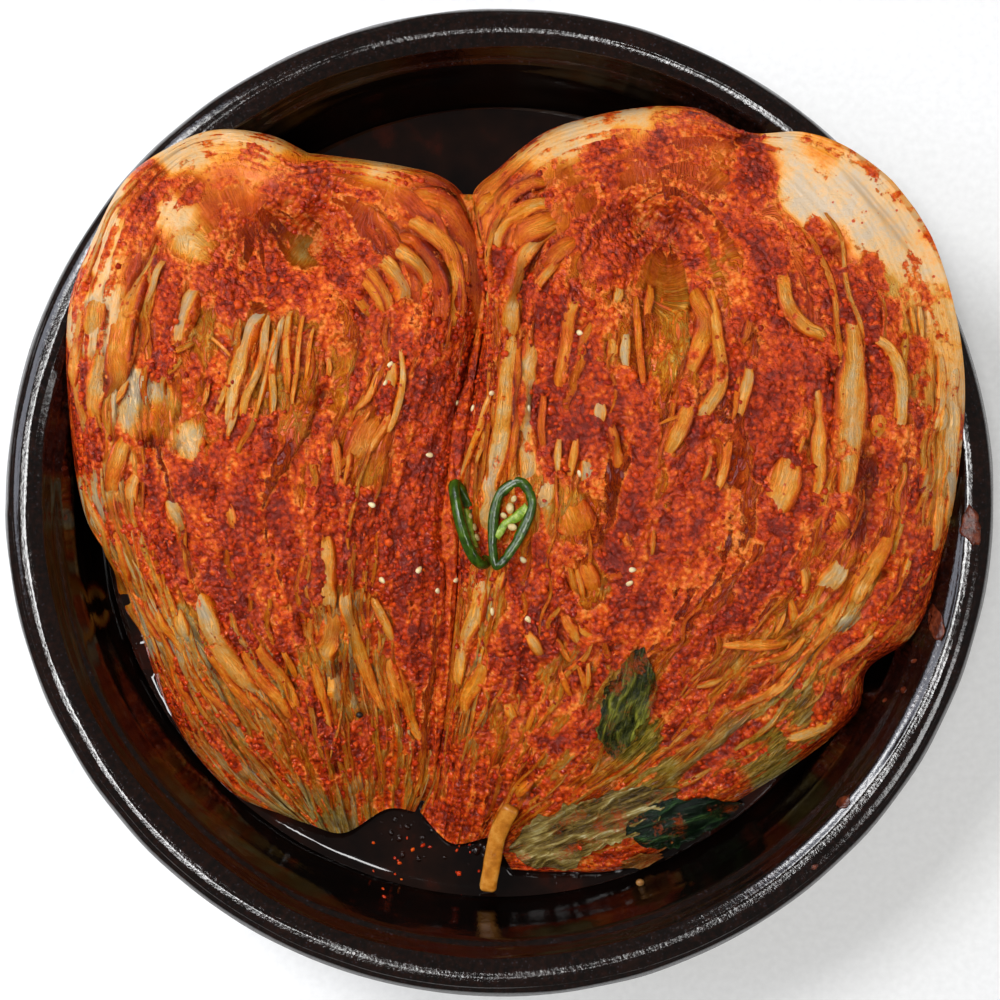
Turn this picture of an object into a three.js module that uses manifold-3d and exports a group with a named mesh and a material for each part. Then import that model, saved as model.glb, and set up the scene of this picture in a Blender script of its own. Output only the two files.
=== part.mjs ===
// Kimchi: two halves of a salted napa cabbage, cut side up, in a glazed earthenware basin
// with their brine, two slices of green chilli, a strip of radish and four loose leaves.
// Millimetres, +Z up, origin in the middle of the basin's flat base.

import * as THREE from "three";
import { mergeVertices } from "three/addons/utils/BufferGeometryUtils.js";
import Module from "manifold-3d";

const wasm = await Module();
wasm.setup();

// Driving dimensions

const BASIN_RADIUS = 191; // outside of the rim
const BASIN_HEIGHT = 76; // crest of the rim
const BASE_RADIUS = 130; // flat base that the basin stands on
const FLOOR_HEIGHT = 11;
const BASIN_SIDES = 48;
const BRINE_LEVEL = 27;
const GAP = 0.35; // clearance between pieces that touch

// Plans are drawn at PLAN_HEIGHT. The heap widens below it and narrows above it, along lines
// that would meet at APEX_HEIGHT.
const PLAN_HEIGHT = 75;
const APEX_HEIGHT = 750;

const COLUMNS = 32; // facets across a half, from one outer leaf to the other
const ROWS = 23; // facets along the leaves, from root to tip
const LEAF_LIFT = [2, 5]; // least and most that a leaf's cut edge stands proud
const SWELL_HEIGHT = 1.8; // low swells where leaves are bunched under the surface
const RIPPLE_HEIGHT = 0.9;
const EDGE_ROOT = 2.5; // how deep the bars of cut leaf edge are rooted
const LEVEL_DROP = 2.5; // least step down to the next level of the underside
const LEAF_THICKNESS = 1.2; // loose leaves
const SEED_SIZE = [3.2, 2.1, 1.3]; // sesame: length, width, thickness
const SEED_RISE = 0.2; // a seed's middle above what it lies on
const CHILLI_LENGTH = 36;
const CHILLI_WIDTH = 16;
const CHILLI_THICKNESS = 2.6;
const CHILLI_WALL = 3.2; // flesh round the chambers

// Inside of the basin, from the floor up to the rim's crest: [radius, height]
const INNER_WALL = [
  [136, FLOOR_HEIGHT + 0.5],
  [148, 14],
  [157, 19],
  [162.5, 27],
  [167, 44],
  [170, 62],
  [173.5, 68],
  [176, 73],
  [180, 75.4],
];

// Outside of the basin, from the base up to the rim's crest
const OUTER_WALL = [
  [BASE_RADIUS, 0],
  [137, 2.5],
  [151, 9],
  [165, 21],
  [174.5, 42],
  [181.5, 61.5],
  [188.5, 64.5],
  [BASIN_RADIUS, 69],
  [189.5, 73.6],
];

// Each half is drawn by five leaf runs, from its left outer leaf to its right one. The first
// point of the outer runs is the middle of the root end, and that of the middle run is the
// core, from which the leaves arch out and run down to their tips.
const LEFT_HALF = {
  runs: [
    [[-73, 134], [-88, 141], [-108, 143], [-125, 137], [-143, 124], [-156, 100], [-165, 74],
      [-165, 38], [-159, -4], [-144, -31], [-126, -81], [-104, -110], [-83, -120]],
    [[-84, 122], [-100, 129], [-119, 124], [-132, 106], [-140, 81], [-144, 51], [-142, 16],
      [-134, -22], [-117, -61], [-94, -99], [-72, -124]],
    [[-94, 110], [-91, 93], [-91, 62], [-91, 28], [-89, -7], [-82, -41], [-73, -76],
      [-59, -127]],
    [[-84, 122], [-69, 124], [-50, 118], [-36, 106], [-29, 89], [-29, 66], [-36, 39],
      [-44, 12], [-48, -22], [-48, -57], [-44, -91], [-43, -118]],
    [[-73, 134], [-56, 132], [-37, 129], [-22, 125], [-12, 116], [-7, 100], [-6, 91],
      [-8, 66], [-13, 39], [-18, 1], [-18, -30], [-20, -57], [-23, -84], [-27, -107],
      [-32, -119]],
  ],
  // Heights along the runs, as [share of the run, height]
  ridge: [[0, 86], [0.09, 78], [0.22, 88], [0.5, 83], [0.7, 71], [0.86, 54], [1, 33]],
  leftEdge: [[0, 62], [0.1, 76], [0.22, 84], [0.37, 80], [0.48, 67], [0.6, 50], [0.68, 38],
    [0.8, 31], [1, 29]],
  rightEdge: [[0, 62], [0.12, 70], [0.22, 64], [0.38, 64], [0.6, 66], [0.8, 56], [0.9, 43],
    [1, 30]],
  shift: -0.5,
  seed: 11,
  // Cut leaf edges that stand proud: points as [place across, place along], width, rise
  leafEdges: [
    { path: [[0.47, 0.17], [0.58, 0.22], [0.66, 0.3], [0.72, 0.4]], width: 6, rise: 4 },
    { path: [[0.43, 0.19], [0.53, 0.23], [0.58, 0.3], [0.62, 0.37]], width: 5, rise: 3.5 },
    { path: [[0.38, 0.19], [0.45, 0.22], [0.51, 0.27], [0.53, 0.33]], width: 5, rise: 3.5 },
    { path: [[0.34, 0.19], [0.4, 0.22], [0.43, 0.28], [0.44, 0.33]], width: 5, rise: 3 },
    { path: [[0.28, 0.19], [0.34, 0.23], [0.37, 0.28], [0.39, 0.33]], width: 5, rise: 3 },
    { path: [[0.02, 0.14], [-0.06, 0.2], [-0.1, 0.27], [-0.12, 0.38]], width: 5, rise: 3.5 },
    { path: [[0.09, 0.15], [0.05, 0.2], [0.03, 0.26]], width: 4, rise: 3 },
    { path: [[-0.26, 0.18], [-0.27, 0.24], [-0.31, 0.31]], width: 11, rise: 3.5 },
    { path: [[-0.66, 0.36], [-0.64, 0.41], [-0.77, 0.49]], width: 6.5, rise: 3 },
    { path: [[-0.35, 0.63], [-0.31, 0.69], [-0.27, 0.78]], width: 6, rise: 3 },
    { path: [[0.24, 0.6], [0.28, 0.7], [0.38, 0.79], [0.52, 0.89]], width: 9, rise: 3.5 },
    { path: [[-0.68, 0.73], [-0.44, 0.79], [-0.18, 0.86]], width: 8, rise: 3 },
  ],
  sesame: [[-42, 53], [-44, 46], [-16, 38], [-27, 18], [-49, -1], [-31, -26], [-17, -30],
    [-24, -34], [-45, -30], [-10, 36]],
};

const RIGHT_HALF = {
  runs: [
    [[58, 152], [39, 149], [17, 142], [-1, 128], [-11, 117], [-6, 99], [-5, 89], [-7, 66],
      [-12, 39], [-17, 1], [-17, -30], [-19, -57], [-22, -84], [-26, -107], [-31, -119]],
    [[60, 131], [46, 132], [25, 124], [10, 106], [3, 81], [2, 51], [2, 20], [0, -15],
      [-4, -45], [-9, -76], [-15, -103], [-19, -131]],
    [[64, 110], [62, 85], [61, 55], [58, 20], [54, -15], [42, -53], [23, -91], [-4, -129]],
    [[60, 131], [77, 135], [100, 126], [117, 106], [129, 78], [135, 47], [135, 12],
      [127, -22], [104, -57], [73, -91], [35, -118], [0, -134]],
    [[58, 152], [76, 151], [95, 142], [117, 142], [137, 134], [158, 115], [171, 87],
      [178, 50], [176, 13], [168, -27], [160, -50], [141, -64], [137, -81], [117, -98],
      [92, -114], [52, -139], [24, -142], [4, -141]],
  ],
  ridge: [[0, 92], [0.09, 86], [0.22, 94], [0.5, 87], [0.7, 73], [0.86, 56], [1, 32]],
  leftEdge: [[0, 76], [0.15, 72], [0.23, 62], [0.38, 64], [0.6, 66], [0.8, 56], [0.9, 43],
    [1, 30]],
  rightEdge: [[0, 76], [0.09, 86], [0.18, 96], [0.24, 98], [0.3, 94], [0.38, 86],
    [0.46, 76], [0.54, 66], [0.6, 57], [0.65, 42], [0.74, 35], [0.85, 31], [1, 29]],
  shift: 0.5,
  seed: 23,
  leafEdges: [
    { path: [[-0.43, 0.14], [-0.55, 0.2], [-0.63, 0.27], [-0.66, 0.36]], width: 6, rise: 4 },
    { path: [[-0.37, 0.14], [-0.42, 0.19], [-0.48, 0.28], [-0.49, 0.4]], width: 6, rise: 4 },
    { path: [[-0.31, 0.18], [-0.36, 0.2], [-0.38, 0.28]], width: 5, rise: 3.5 },
    { path: [[-0.46, 0.32], [-0.49, 0.41], [-0.54, 0.5], [-0.59, 0.6]], width: 6.5, rise: 4 },
    { path: [[-0.38, 0.3], [-0.39, 0.38], [-0.41, 0.46], [-0.4, 0.52]], width: 6, rise: 3.5 },
    { path: [[-0.31, 0.44], [-0.3, 0.5], [-0.29, 0.56]], width: 8, rise: 3 },
    { path: [[-0.13, 0.3], [-0.16, 0.36], [-0.18, 0.46]], width: 5, rise: 3 },
    { path: [[0.14, 0.27], [0.11, 0.33], [0.07, 0.4]], width: 6, rise: 3 },
    { path: [[0.52, 0.31], [0.5, 0.36], [0.49, 0.42], [0.52, 0.5]], width: 9, rise: 5 },
    { path: [[0.59, 0.31], [0.66, 0.34], [0.68, 0.38], [0.66, 0.44]], width: 6, rise: 4 },
    { path: [[0.38, 0.19], [0.36, 0.23], [0.4, 0.28], [0.49, 0.31]], width: 6, rise: 3.5 },
    { path: [[0.35, 0.4], [0.33, 0.45], [0.3, 0.49]], width: 8, rise: 3 },
    { path: [[0.68, 0.52], [0.63, 0.58], [0.58, 0.63], [0.4, 0.65]], width: 9, rise: 3.5 },
    { path: [[0.79, 0.59], [0.72, 0.64], [0.62, 0.68], [0.53, 0.74]], width: 9, rise: 3 },
  ],
  sesame: [[-3, 42], [31, 65], [11, 36], [31, 11], [9, -22], [51, -26], [50, -31],
    [-3, -42], [11, -45]],
};

// Repeatable random numbers from 0 to 1
function seededRandom(seed) {
  let state = seed;
  return () => {
    state = (state * 1664525 + 1013904223) % 4294967296;
    return state / 4294967296;
  };
}

// The value at x of the straight stretches between [x, value] keys
function between(keys, x) {
  const next = keys.findIndex((key) => key[0] >= x);
  if (next < 0) return keys[keys.length - 1][1];
  if (next === 0) return keys[0][1];
  const [x0, v0] = keys[next - 1];
  const [x1, v1] = keys[next];
  return v0 + ((v1 - v0) * (x - x0)) / (x1 - x0);
}

const vector2 = ([x, y]) => new THREE.Vector2(x, y);

// A point drawn in plan, brought to its place at the height z
function settle(plan, z) {
  const spread = (APEX_HEIGHT - z) / (APEX_HEIGHT - PLAN_HEIGHT);
  return new THREE.Vector3(plan.x * spread, plan.y * spread, z);
}

// Closed solids

function toSolid(geometry) {
  const merged = geometry.clone();
  merged.deleteAttribute("normal");
  merged.deleteAttribute("uv");
  const welded = mergeVertices(merged, 1e-4);
  return new wasm.Manifold(
    new wasm.Mesh({
      numProp: 3,
      vertProperties: new Float32Array(welded.attributes.position.array),
      triVerts: new Uint32Array(welded.index.array),
    }),
  );
}

function toGeometry(solid) {
  const { vertProperties, triVerts } = solid.getMesh();
  const geometry = new THREE.BufferGeometry();
  geometry.setAttribute("position", new THREE.BufferAttribute(vertProperties, 3));
  geometry.setIndex(new THREE.BufferAttribute(triVerts, 1));
  return geometry;
}

// The largest of the bodies in a solid, without scraps and sealed hollows
function mainBody(solid) {
  return solid.decompose().reduce((a, b) => (a.volume() > b.volume() ? a : b));
}

function facetGeometry(points, triangles) {
  const geometry = new THREE.BufferGeometry();
  geometry.setFromPoints(points);
  geometry.setIndex(triangles);
  return geometry;
}

// A body swept through stations, each a place with its own scale, its sides level
function sweep(stations, section) {
  const up = new THREE.Vector3(0, 0, 1);
  const points = [];
  const triangles = [];
  const sides = section.length;
  stations.forEach(({ place, scale }, i) => {
    const before = stations[Math.max(i - 1, 0)].place;
    const after = stations[Math.min(i + 1, stations.length - 1)].place;
    const side = after.clone().sub(before).setZ(0).normalize().cross(up);
    for (const [across, height] of section) {
      const point = place.clone().addScaledVector(side, across * scale);
      points.push(point.setZ(point.z + height * scale));
    }
  });
  for (let i = 0; i < stations.length - 1; i++) {
    for (let k = 0; k < sides; k++) {
      const a = i * sides + k;
      const b = i * sides + ((k + 1) % sides);
      triangles.push(a, a + sides, b, b, a + sides, b + sides);
    }
  }
  const last = (stations.length - 1) * sides;
  for (let k = 1; k < sides - 1; k++) {
    triangles.push(0, k, k + 1, last, last + k + 1, last + k);
  }
  return facetGeometry(points, triangles);
}

// Basin

function turned(profile) {
  const geometry = new THREE.LatheGeometry(profile.map(vector2), BASIN_SIDES);
  return geometry.rotateX(Math.PI / 2);
}

function basinGeometry() {
  const crest = [[186, BASIN_HEIGHT], [183, BASIN_HEIGHT]];
  const inside = [[0, FLOOR_HEIGHT], ...INNER_WALL].reverse();
  return turned([[0, 0], ...OUTER_WALL, ...crest, ...inside]);
}

// The widest that a piece can be inside the basin at the height z
function roomAt(z) {
  if (z > BASIN_HEIGHT + GAP) return BASIN_RADIUS - 2;
  return between(INNER_WALL.map(([radius, height]) => [height, radius]), z) - 2 * GAP;
}

// Everything that the basin leaves no room for, with the clearance
function basinKeepOut() {
  const inside = INNER_WALL.map(([radius, height]) => [radius - GAP, height + GAP]);
  const top = BASIN_HEIGHT + GAP;
  return toSolid(
    turned([[0, -20], [240, -20], [240, top], [183, top], ...inside.reverse(),
      [0, FLOOR_HEIGHT + GAP]]),
  );
}

// Cabbage halves

function makeRuns(half) {
  const curves = half.runs.map((points) => new THREE.SplineCurve(points.map(vector2)));
  curves.forEach((curve) => {
    curve.arcLengthDivisions = 300;
  });
  return curves;
}

function planPoint(curves, across, along) {
  const row = new THREE.SplineCurve(curves.map((curve) => curve.getPointAt(along)));
  return row.getPoint((across + 1) / 2);
}

// Low swells where leaves are bunched under the surface
function swell(half, across, along) {
  const wave = Math.sin(7.3 * across + half.seed) * Math.cos(11 * along + 2.1 * across);
  const ripple = Math.sin(17 * along - 5 * across + half.seed);
  return SWELL_HEIGHT * wave + RIPPLE_HEIGHT * ripple;
}

function surfaceHeight(half, across, along, lift) {
  const left = between(half.leftEdge, along);
  const right = between(half.rightEdge, along);
  const edge = left + ((right - left) * (across + 1)) / 2;
  const crown = Math.sqrt(1 - Math.abs(across) ** 5) * Math.sqrt(1 - along ** 10);
  const fade = Math.min(1, along / 0.08) * crown;
  const top = between(half.ridge, along) + fade * (swell(half, across, along) + lift);
  return edge + (top - edge) * crown;
}

// Every other column is the cut edge of a leaf, which stands proud and dips here and there
function leafLifts(half) {
  const random = seededRandom(half.seed);
  const [least, most] = LEAF_LIFT;
  return Array.from({ length: COLUMNS + 1 }, (_, column) => {
    const height = least + (most - least) * random();
    const phase = 6.3 * random();
    const edge = column % 2;
    return (along) => edge * height * (0.75 + 0.45 * Math.sin(phase + 14 * along));
  });
}

function halfSurface(half, curves) {
  const lifts = leafLifts(half);
  const grid = [];
  for (let i = 0; i <= COLUMNS; i++) {
    const across = (2 * i) / COLUMNS - 1;
    grid.push([]);
    for (let j = 0; j <= ROWS; j++) {
      const along = (j / ROWS) ** 1.1;
      const height = surfaceHeight(half, across, along, lifts[i](along));
      const plan = planPoint(curves, across, along);
      const point = settle(plan, height);
      const room = Math.min(1, roomAt(height) / Math.hypot(point.x, point.y));
      point.set(point.x * room + half.shift, point.y * room, height);
      grid[i].push({ plan, point });
    }
  }
  return grid;
}

// Levels of the underside: how wide it may be at each height
const UNDERSIDE = [
  { radius: 173, height: 78 },
  { radius: 153, height: 31 },
  { radius: 122, height: FLOOR_HEIGHT + GAP + 0.3 },
];

// The body below a half's outline: rings down to the floor and a flat underside
function addUnderside(points, triangles, rim, grow) {
  let upper = rim;
  UNDERSIDE.forEach(({ radius, height }, level) => {
    const lower = rim.map((index) => {
      const start = points[index];
      const pull = Math.min(1, (radius + grow) / Math.hypot(start.x, start.y));
      const z = Math.min(height, start.z - LEVEL_DROP * (level + 1)) - 0.5 * grow;
      return points.push(new THREE.Vector3(start.x * pull, start.y * pull, z)) - 1;
    });
    rim.forEach((_, k) => {
      const next = (k + 1) % rim.length;
      triangles.push(upper[next], upper[k], lower[k], upper[next], lower[k], lower[next]);
    });
    upper = lower;
  });
  const middle = new THREE.Vector3();
  upper.forEach((index) => middle.addScaledVector(points[index], 1 / upper.length));
  const centre = points.push(middle) - 1;
  upper.forEach((index, k) => {
    triangles.push(upper[(k + 1) % upper.length], index, centre);
  });
}

// The outline of a half, round from the root end by its left side, tips and right side
function outlineOf(last) {
  const outline = [];
  for (let j = 0; j < last.row; j++) outline.push([0, j]);
  for (let i = 0; i < last.column; i++) outline.push([i, last.row]);
  for (let j = last.row; j > 0; j--) outline.push([last.column, j]);
  return outline;
}

function halfBody(grid) {
  const points = grid.flat().map(({ point }) => point);
  // The left and right leaves meet in a seam from the root end to the core, where j is 0
  const at = (i, j) => (j === 0 ? Math.min(i, COLUMNS - i) : i) * (ROWS + 1) + j;
  const triangles = [];
  for (let i = 0; i < COLUMNS; i++) {
    for (let j = 0; j < ROWS; j++) {
      const corners = [at(i, j), at(i + 1, j), at(i, j + 1), at(i + 1, j + 1)];
      const [a, b, c, d] = corners;
      if (i < COLUMNS / 2) triangles.push(a, c, d, a, d, b);
      else triangles.push(a, c, b, b, c, d);
    }
  }
  const rim = outlineOf({ column: COLUMNS, row: ROWS }).map(([i, j]) => at(i, j));
  addUnderside(points, triangles, rim, 0);
  return toSolid(facetGeometry(points, triangles));
}

// The half's room in the brine: its sides and underside, grown by the clearance
function halfRoom(grid) {
  const outline = outlineOf({ column: COLUMNS, row: ROWS }).map(([i, j]) => grid[i][j].point);
  const lid = new THREE.Vector3();
  outline.forEach((point) => lid.addScaledVector(point, 1 / outline.length));
  const points = outline.map((point) => {
    const out = point.clone().sub(lid).setZ(0).setLength(3 * GAP);
    return out.add(point);
  });
  const rim = [...points.keys()];
  const centre = points.push(lid) - 1;
  const triangles = [];
  rim.forEach((index, k) => {
    triangles.push(index, rim[(k + 1) % rim.length], centre);
  });
  addUnderside(points, triangles, rim, 3 * GAP);
  return toSolid(facetGeometry(points, triangles));
}

// A cut leaf edge: a rounded bar that sinks into the body at both ends
function leafEdge(half, curves, { path, width, rise }) {
  const line = new THREE.SplineCurve(path.map(vector2));
  const steps = path.length + 2;
  const stations = [];
  for (let k = 0; k <= steps; k++) {
    const place = line.getPoint(k / steps);
    const swelling = Math.sin((Math.PI * (k + 0.7)) / (steps + 1.4)) ** 0.5;
    const height = surfaceHeight(half, place.x, place.y, LEAF_LIFT[0]);
    const point = settle(planPoint(curves, place.x, place.y), height);
    point.z += rise * (swelling - 1);
    stations.push({ place: point, scale: 0.4 + 0.6 * swelling });
  }
  const section = [
    [width / 2, -EDGE_ROOT],
    [width / 3, rise],
    [-width / 3, rise],
    [-width / 2, -EDGE_ROOT],
  ];
  return toSolid(sweep(stations, section));
}

// The place of a plan point on whatever lies highest there, never below the brine
function restingPlace(supports, x, y) {
  const down = new THREE.Vector3(0, 0, -1);
  let place = settle({ x, y }, PLAN_HEIGHT);
  for (let k = 0; k < 4; k++) {
    const above = place.clone().setZ(2 * BASIN_HEIGHT);
    const [hit] = new THREE.Raycaster(above, down).intersectObjects(supports);
    place = settle({ x, y }, Math.max(BRINE_LEVEL, hit ? hit.point.z : 0));
  }
  return place;
}

function sesameSeed(supports, [x, y], turn) {
  const seed = new THREE.SphereGeometry(0.5, 6, 3).scale(...SEED_SIZE);
  const place = restingPlace(supports, x, y);
  return toSolid(seed.rotateZ(turn).translate(place.x, place.y, place.z + SEED_RISE));
}

// Loose pieces

// Phase of a leaf's ruffle: by the step along it, and from one side to the other
const RUFFLE_STEP = 2.4;
const RUFFLE_LEAN = 1.9;

// A thin wavy leaf along a midline of plan points, both faces split into triangles alike
function looseLeaf(supports, { midline, widths, ruffle, lift }) {
  const steps = 3 * (midline.length - 1);
  const strips = 4;
  const curve = new THREE.SplineCurve(midline.map(vector2));
  const upper = [];
  for (let i = 0; i <= steps; i++) {
    const middle = curve.getPoint(i / steps);
    const run = curve.getTangent(i / steps);
    const half = between(widths, i / steps) / 2;
    for (let k = 0; k <= strips; k++) {
      const side = (2 * k) / strips - 1;
      const x = middle.x + run.y * side * half;
      const y = middle.y - run.x * side * half;
      const wave = ruffle * Math.abs(side) * Math.sin(RUFFLE_STEP * i + RUFFLE_LEAN * side);
      const rest = restingPlace(supports, x, y);
      upper.push(rest.setZ(rest.z + lift + ruffle + wave));
    }
  }
  const count = upper.length;
  const lower = upper.map((point) => point.clone().setZ(point.z - LEAF_THICKNESS));
  const triangles = [];
  const stride = strips + 1;
  const wall = (a, b) => triangles.push(a, b, a + count, b, b + count, a + count);
  for (let i = 0; i < steps; i++) {
    for (let k = 0; k < strips; k++) {
      const a = i * stride + k;
      const [b, c, d] = [a + 1, a + stride, a + stride + 1];
      triangles.push(a, b, c, b, d, c);
      triangles.push(a + count, c + count, b + count, b + count, c + count, d + count);
    }
    wall(i * stride, (i + 1) * stride);
    wall((i + 1) * stride + strips, i * stride + strips);
  }
  for (let k = 0; k < strips; k++) {
    wall(k + 1, k);
    wall(steps * stride + k, steps * stride + k + 1);
  }
  return facetGeometry([...upper, ...lower], triangles);
}

// An oval plate, grown by some clearance, with two chambers through it unless it is plain
function ovalPlate(grow, plain) {
  const [reach, drop] = [CHILLI_LENGTH / 2, CHILLI_WIDTH / 2];
  const oval = new THREE.Shape();
  oval.absellipse(0, 0, reach + grow, drop + grow, 0, 2 * Math.PI);
  for (const side of plain ? [] : [-1, 1]) {
    const chamber = new THREE.Path();
    const room = reach - CHILLI_WALL;
    const middle = (side * (room + 1)) / 2;
    chamber.absellipse(middle, 0, (room - 1) / 2, (drop - CHILLI_WALL) * 0.86, 0, 2 * Math.PI);
    oval.holes.push(chamber);
  }
  const depth = CHILLI_THICKNESS + 2 * grow;
  const options = { depth, bevelEnabled: false, curveSegments: 8 };
  return new THREE.ExtrudeGeometry(oval, options).translate(0, 0, -depth / 2);
}

const CHILLI_SLICES = {
  chilli_slice_left: { place: [-11.4, -8.6], heading: 108, lean: 68, lift: 4 },
  chilli_slice_right: { place: [3.6, -8.2], heading: 74, lean: -14, lift: 2.5 },
};

// A slice of chilli with a bar of pith across it, and the seat that it presses in the heap
function chilliSlice(supports, { place: [x, y], heading, lean, lift }) {
  const place = restingPlace(supports, x, y);
  const [slice, seat] = [ovalPlate(0, false), ovalPlate(GAP, true)].map((plate) =>
    plate
      .rotateX(THREE.MathUtils.degToRad(lean))
      .rotateZ(THREE.MathUtils.degToRad(heading))
      .translate(place.x, place.y, place.z + lift),
  );
  return { slice, seat: toSolid(seat) };
}

const RADISH = {
  points: [[5, -117, 43], [0, -126, 39.5], [-2, -134, 37], [-3.6, -143, 34], [-4.6, -149, 32]],
  width: 7,
  thickness: 4.2,
};

function radishStrip() {
  const curve = new THREE.CatmullRomCurve3(
    RADISH.points.map(([x, y, z]) => settle({ x, y }, z)),
  );
  const [w, h] = [RADISH.width / 2, RADISH.thickness / 2];
  const section = [[w, -h * 0.6], [w, h * 0.6], [w * 0.6, h], [-w * 0.6, h], [-w, h * 0.6],
    [-w, -h * 0.6], [-w * 0.6, -h], [w * 0.6, -h]];
  const steps = 8;
  const stations = [];
  for (let k = 0; k <= steps; k++) {
    const end = k === 0 || k === steps ? 0.75 : 1;
    stations.push({ place: curve.getPointAt(k / steps), scale: end });
  }
  return sweep(stations, section);
}

const LOOSE_LEAVES = {
  pale_green_leaf: {
    midline: [[68, -112], [44, -122], [22, -131], [6, -135]],
    widths: [[0, 8], [0.3, 20], [0.8, 21], [1, 10]],
    ruffle: 1.5,
    lift: 2.5,
    colour: 0x8d8a55,
  },
  dark_green_leaf: {
    midline: [[94, -115], [78, -118], [64, -122], [52, -126.5]],
    widths: [[0, 6], [0.3, 12], [0.7, 21], [1, 12]],
    ruffle: 1.5,
    lift: 3.8,
    colour: 0x1f3a1e,
  },
  olive_leaf: {
    midline: [[54, -57], [51, -72], [46, -85], [43, -97]],
    widths: [[0, 8], [0.35, 17], [0.8, 17], [1, 9]],
    ruffle: 1.4,
    lift: 2,
    colour: 0x5c5a24,
  },
  tan_leaf_scrap: {
    midline: [[48, -139.5], [55, -138], [61, -136]],
    widths: [[0, 3], [0.5, 6], [1, 3]],
    ruffle: 0.6,
    lift: 2.6,
    colour: 0xb07a3a,
  },
};

// Assembly

const kimchi = new THREE.Group();

function addPiece(name, geometry, colour, roughness) {
  const material = new THREE.MeshStandardMaterial({ color: colour, roughness, metalness: 0 });
  const mesh = new THREE.Mesh(geometry, material);
  mesh.name = name;
  kimchi.add(mesh);
}

const halves = { left: LEFT_HALF, right: RIGHT_HALF };
const runs = { left: makeRuns(LEFT_HALF), right: makeRuns(RIGHT_HALF) };
const grids = {
  left: halfSurface(LEFT_HALF, runs.left),
  right: halfSurface(RIGHT_HALF, runs.right),
};

const basin = basinGeometry();
addPiece("basin", basin, 0x1d1412, 0.25);

const supports = [new THREE.Mesh(basin)];
const bodies = {};
for (const side of ["left", "right"]) {
  const half = halves[side];
  let body = halfBody(grids[side]);
  for (const edge of half.leafEdges) body = body.add(leafEdge(half, runs[side], edge));
  const bare = [new THREE.Mesh(toGeometry(body))];
  half.sesame.forEach((place, k) => {
    body = body.add(sesameSeed(bare, place, 2.4 * k));
  });
  bodies[side] = body.subtract(basinKeepOut());
  supports.push(new THREE.Mesh(toGeometry(bodies[side])));
}

for (const [name, place] of Object.entries(CHILLI_SLICES)) {
  const { slice, seat } = chilliSlice(supports, place);
  addPiece(name, slice, 0x3c5a12, 0.35);
  bodies.left = bodies.left.subtract(seat);
  bodies.right = bodies.right.subtract(seat);
}
for (const side of ["left", "right"]) {
  addPiece(`cabbage_half_${side}`, toGeometry(mainBody(bodies[side])), 0xc04a1c, 0.45);
}

addPiece("radish_strip", radishStrip(), 0xb5701e, 0.4);
for (const [name, leaf] of Object.entries(LOOSE_LEAVES)) {
  const geometry = looseLeaf(supports, leaf);
  addPiece(name, geometry, leaf.colour, 0.4);
  supports.push(new THREE.Mesh(geometry));
}

function brineSolid() {
  const wide = INNER_WALL.filter(([, height]) => height >= 14 && height <= BRINE_LEVEL)
    .map(([radius, height]) => [radius - GAP, Math.min(height + GAP, BRINE_LEVEL)]);
  let pool = toSolid(turned([[0, FLOOR_HEIGHT + GAP], ...wide, [0, BRINE_LEVEL]]));
  for (const side of ["left", "right"]) {
    const lowered = toGeometry(bodies[side]).translate(0, 0, -GAP);
    pool = pool.subtract(halfRoom(grids[side])).subtract(toSolid(lowered));
  }
  return mainBody(pool);
}

addPiece("brine", toGeometry(brineSolid()), 0x2a1210, 0.08);

export default kimchi;
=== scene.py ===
"""Kimchi in its bowl: the looks of two seasoned cabbage halves in a glazed earthenware basin.

Everything is worked out in millimetres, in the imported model's own frame, and turned into metres
when its mesh is made. "Plan" places are drawn at PLAN_HEIGHT, as the heap looks from APEX_HEIGHT
straight above the middle of the basin.
"""

import math

import bpy
import numpy as np
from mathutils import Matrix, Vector, bvhtree, kdtree


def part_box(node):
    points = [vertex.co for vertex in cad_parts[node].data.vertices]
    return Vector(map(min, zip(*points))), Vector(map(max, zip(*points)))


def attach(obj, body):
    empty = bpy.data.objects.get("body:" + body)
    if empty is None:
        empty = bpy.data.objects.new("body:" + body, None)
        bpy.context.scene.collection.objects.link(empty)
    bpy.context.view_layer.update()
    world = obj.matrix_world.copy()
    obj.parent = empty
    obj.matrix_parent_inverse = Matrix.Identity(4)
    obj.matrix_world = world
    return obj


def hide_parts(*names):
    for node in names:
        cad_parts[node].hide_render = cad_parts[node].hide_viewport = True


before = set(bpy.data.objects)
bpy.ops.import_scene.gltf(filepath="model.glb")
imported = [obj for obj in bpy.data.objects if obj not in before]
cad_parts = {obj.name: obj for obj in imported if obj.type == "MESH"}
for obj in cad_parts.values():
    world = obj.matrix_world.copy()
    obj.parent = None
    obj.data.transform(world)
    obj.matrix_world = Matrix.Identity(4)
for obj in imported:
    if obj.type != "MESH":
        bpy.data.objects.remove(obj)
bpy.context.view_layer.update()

MM = 0.001
PLAN_HEIGHT = 75.0
APEX_HEIGHT = 750.0
APEX = Vector((0, 0, APEX_HEIGHT))
BRINE_LEVEL = 27.0
WALL_AT_BRINE = 162.5
# The basin's inner wall: height, radius
ROOM_INSIDE = [(11.5, 136), (14, 148), (19, 157), (27, WALL_AT_BRINE), (44, 167), (62, 170),
               (68, 173.5), (73, 176), (75.4, 180), (76.35, 180.3), (76.36, 189)]
WALL_CLEARANCE = 0.7
TURN = 2 * math.pi

chance = np.random.default_rng(41)

# ---------------------------------------------------------------- fields

LATTICE = np.random.default_rng(20).uniform(-1, 1, 4096)


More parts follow.
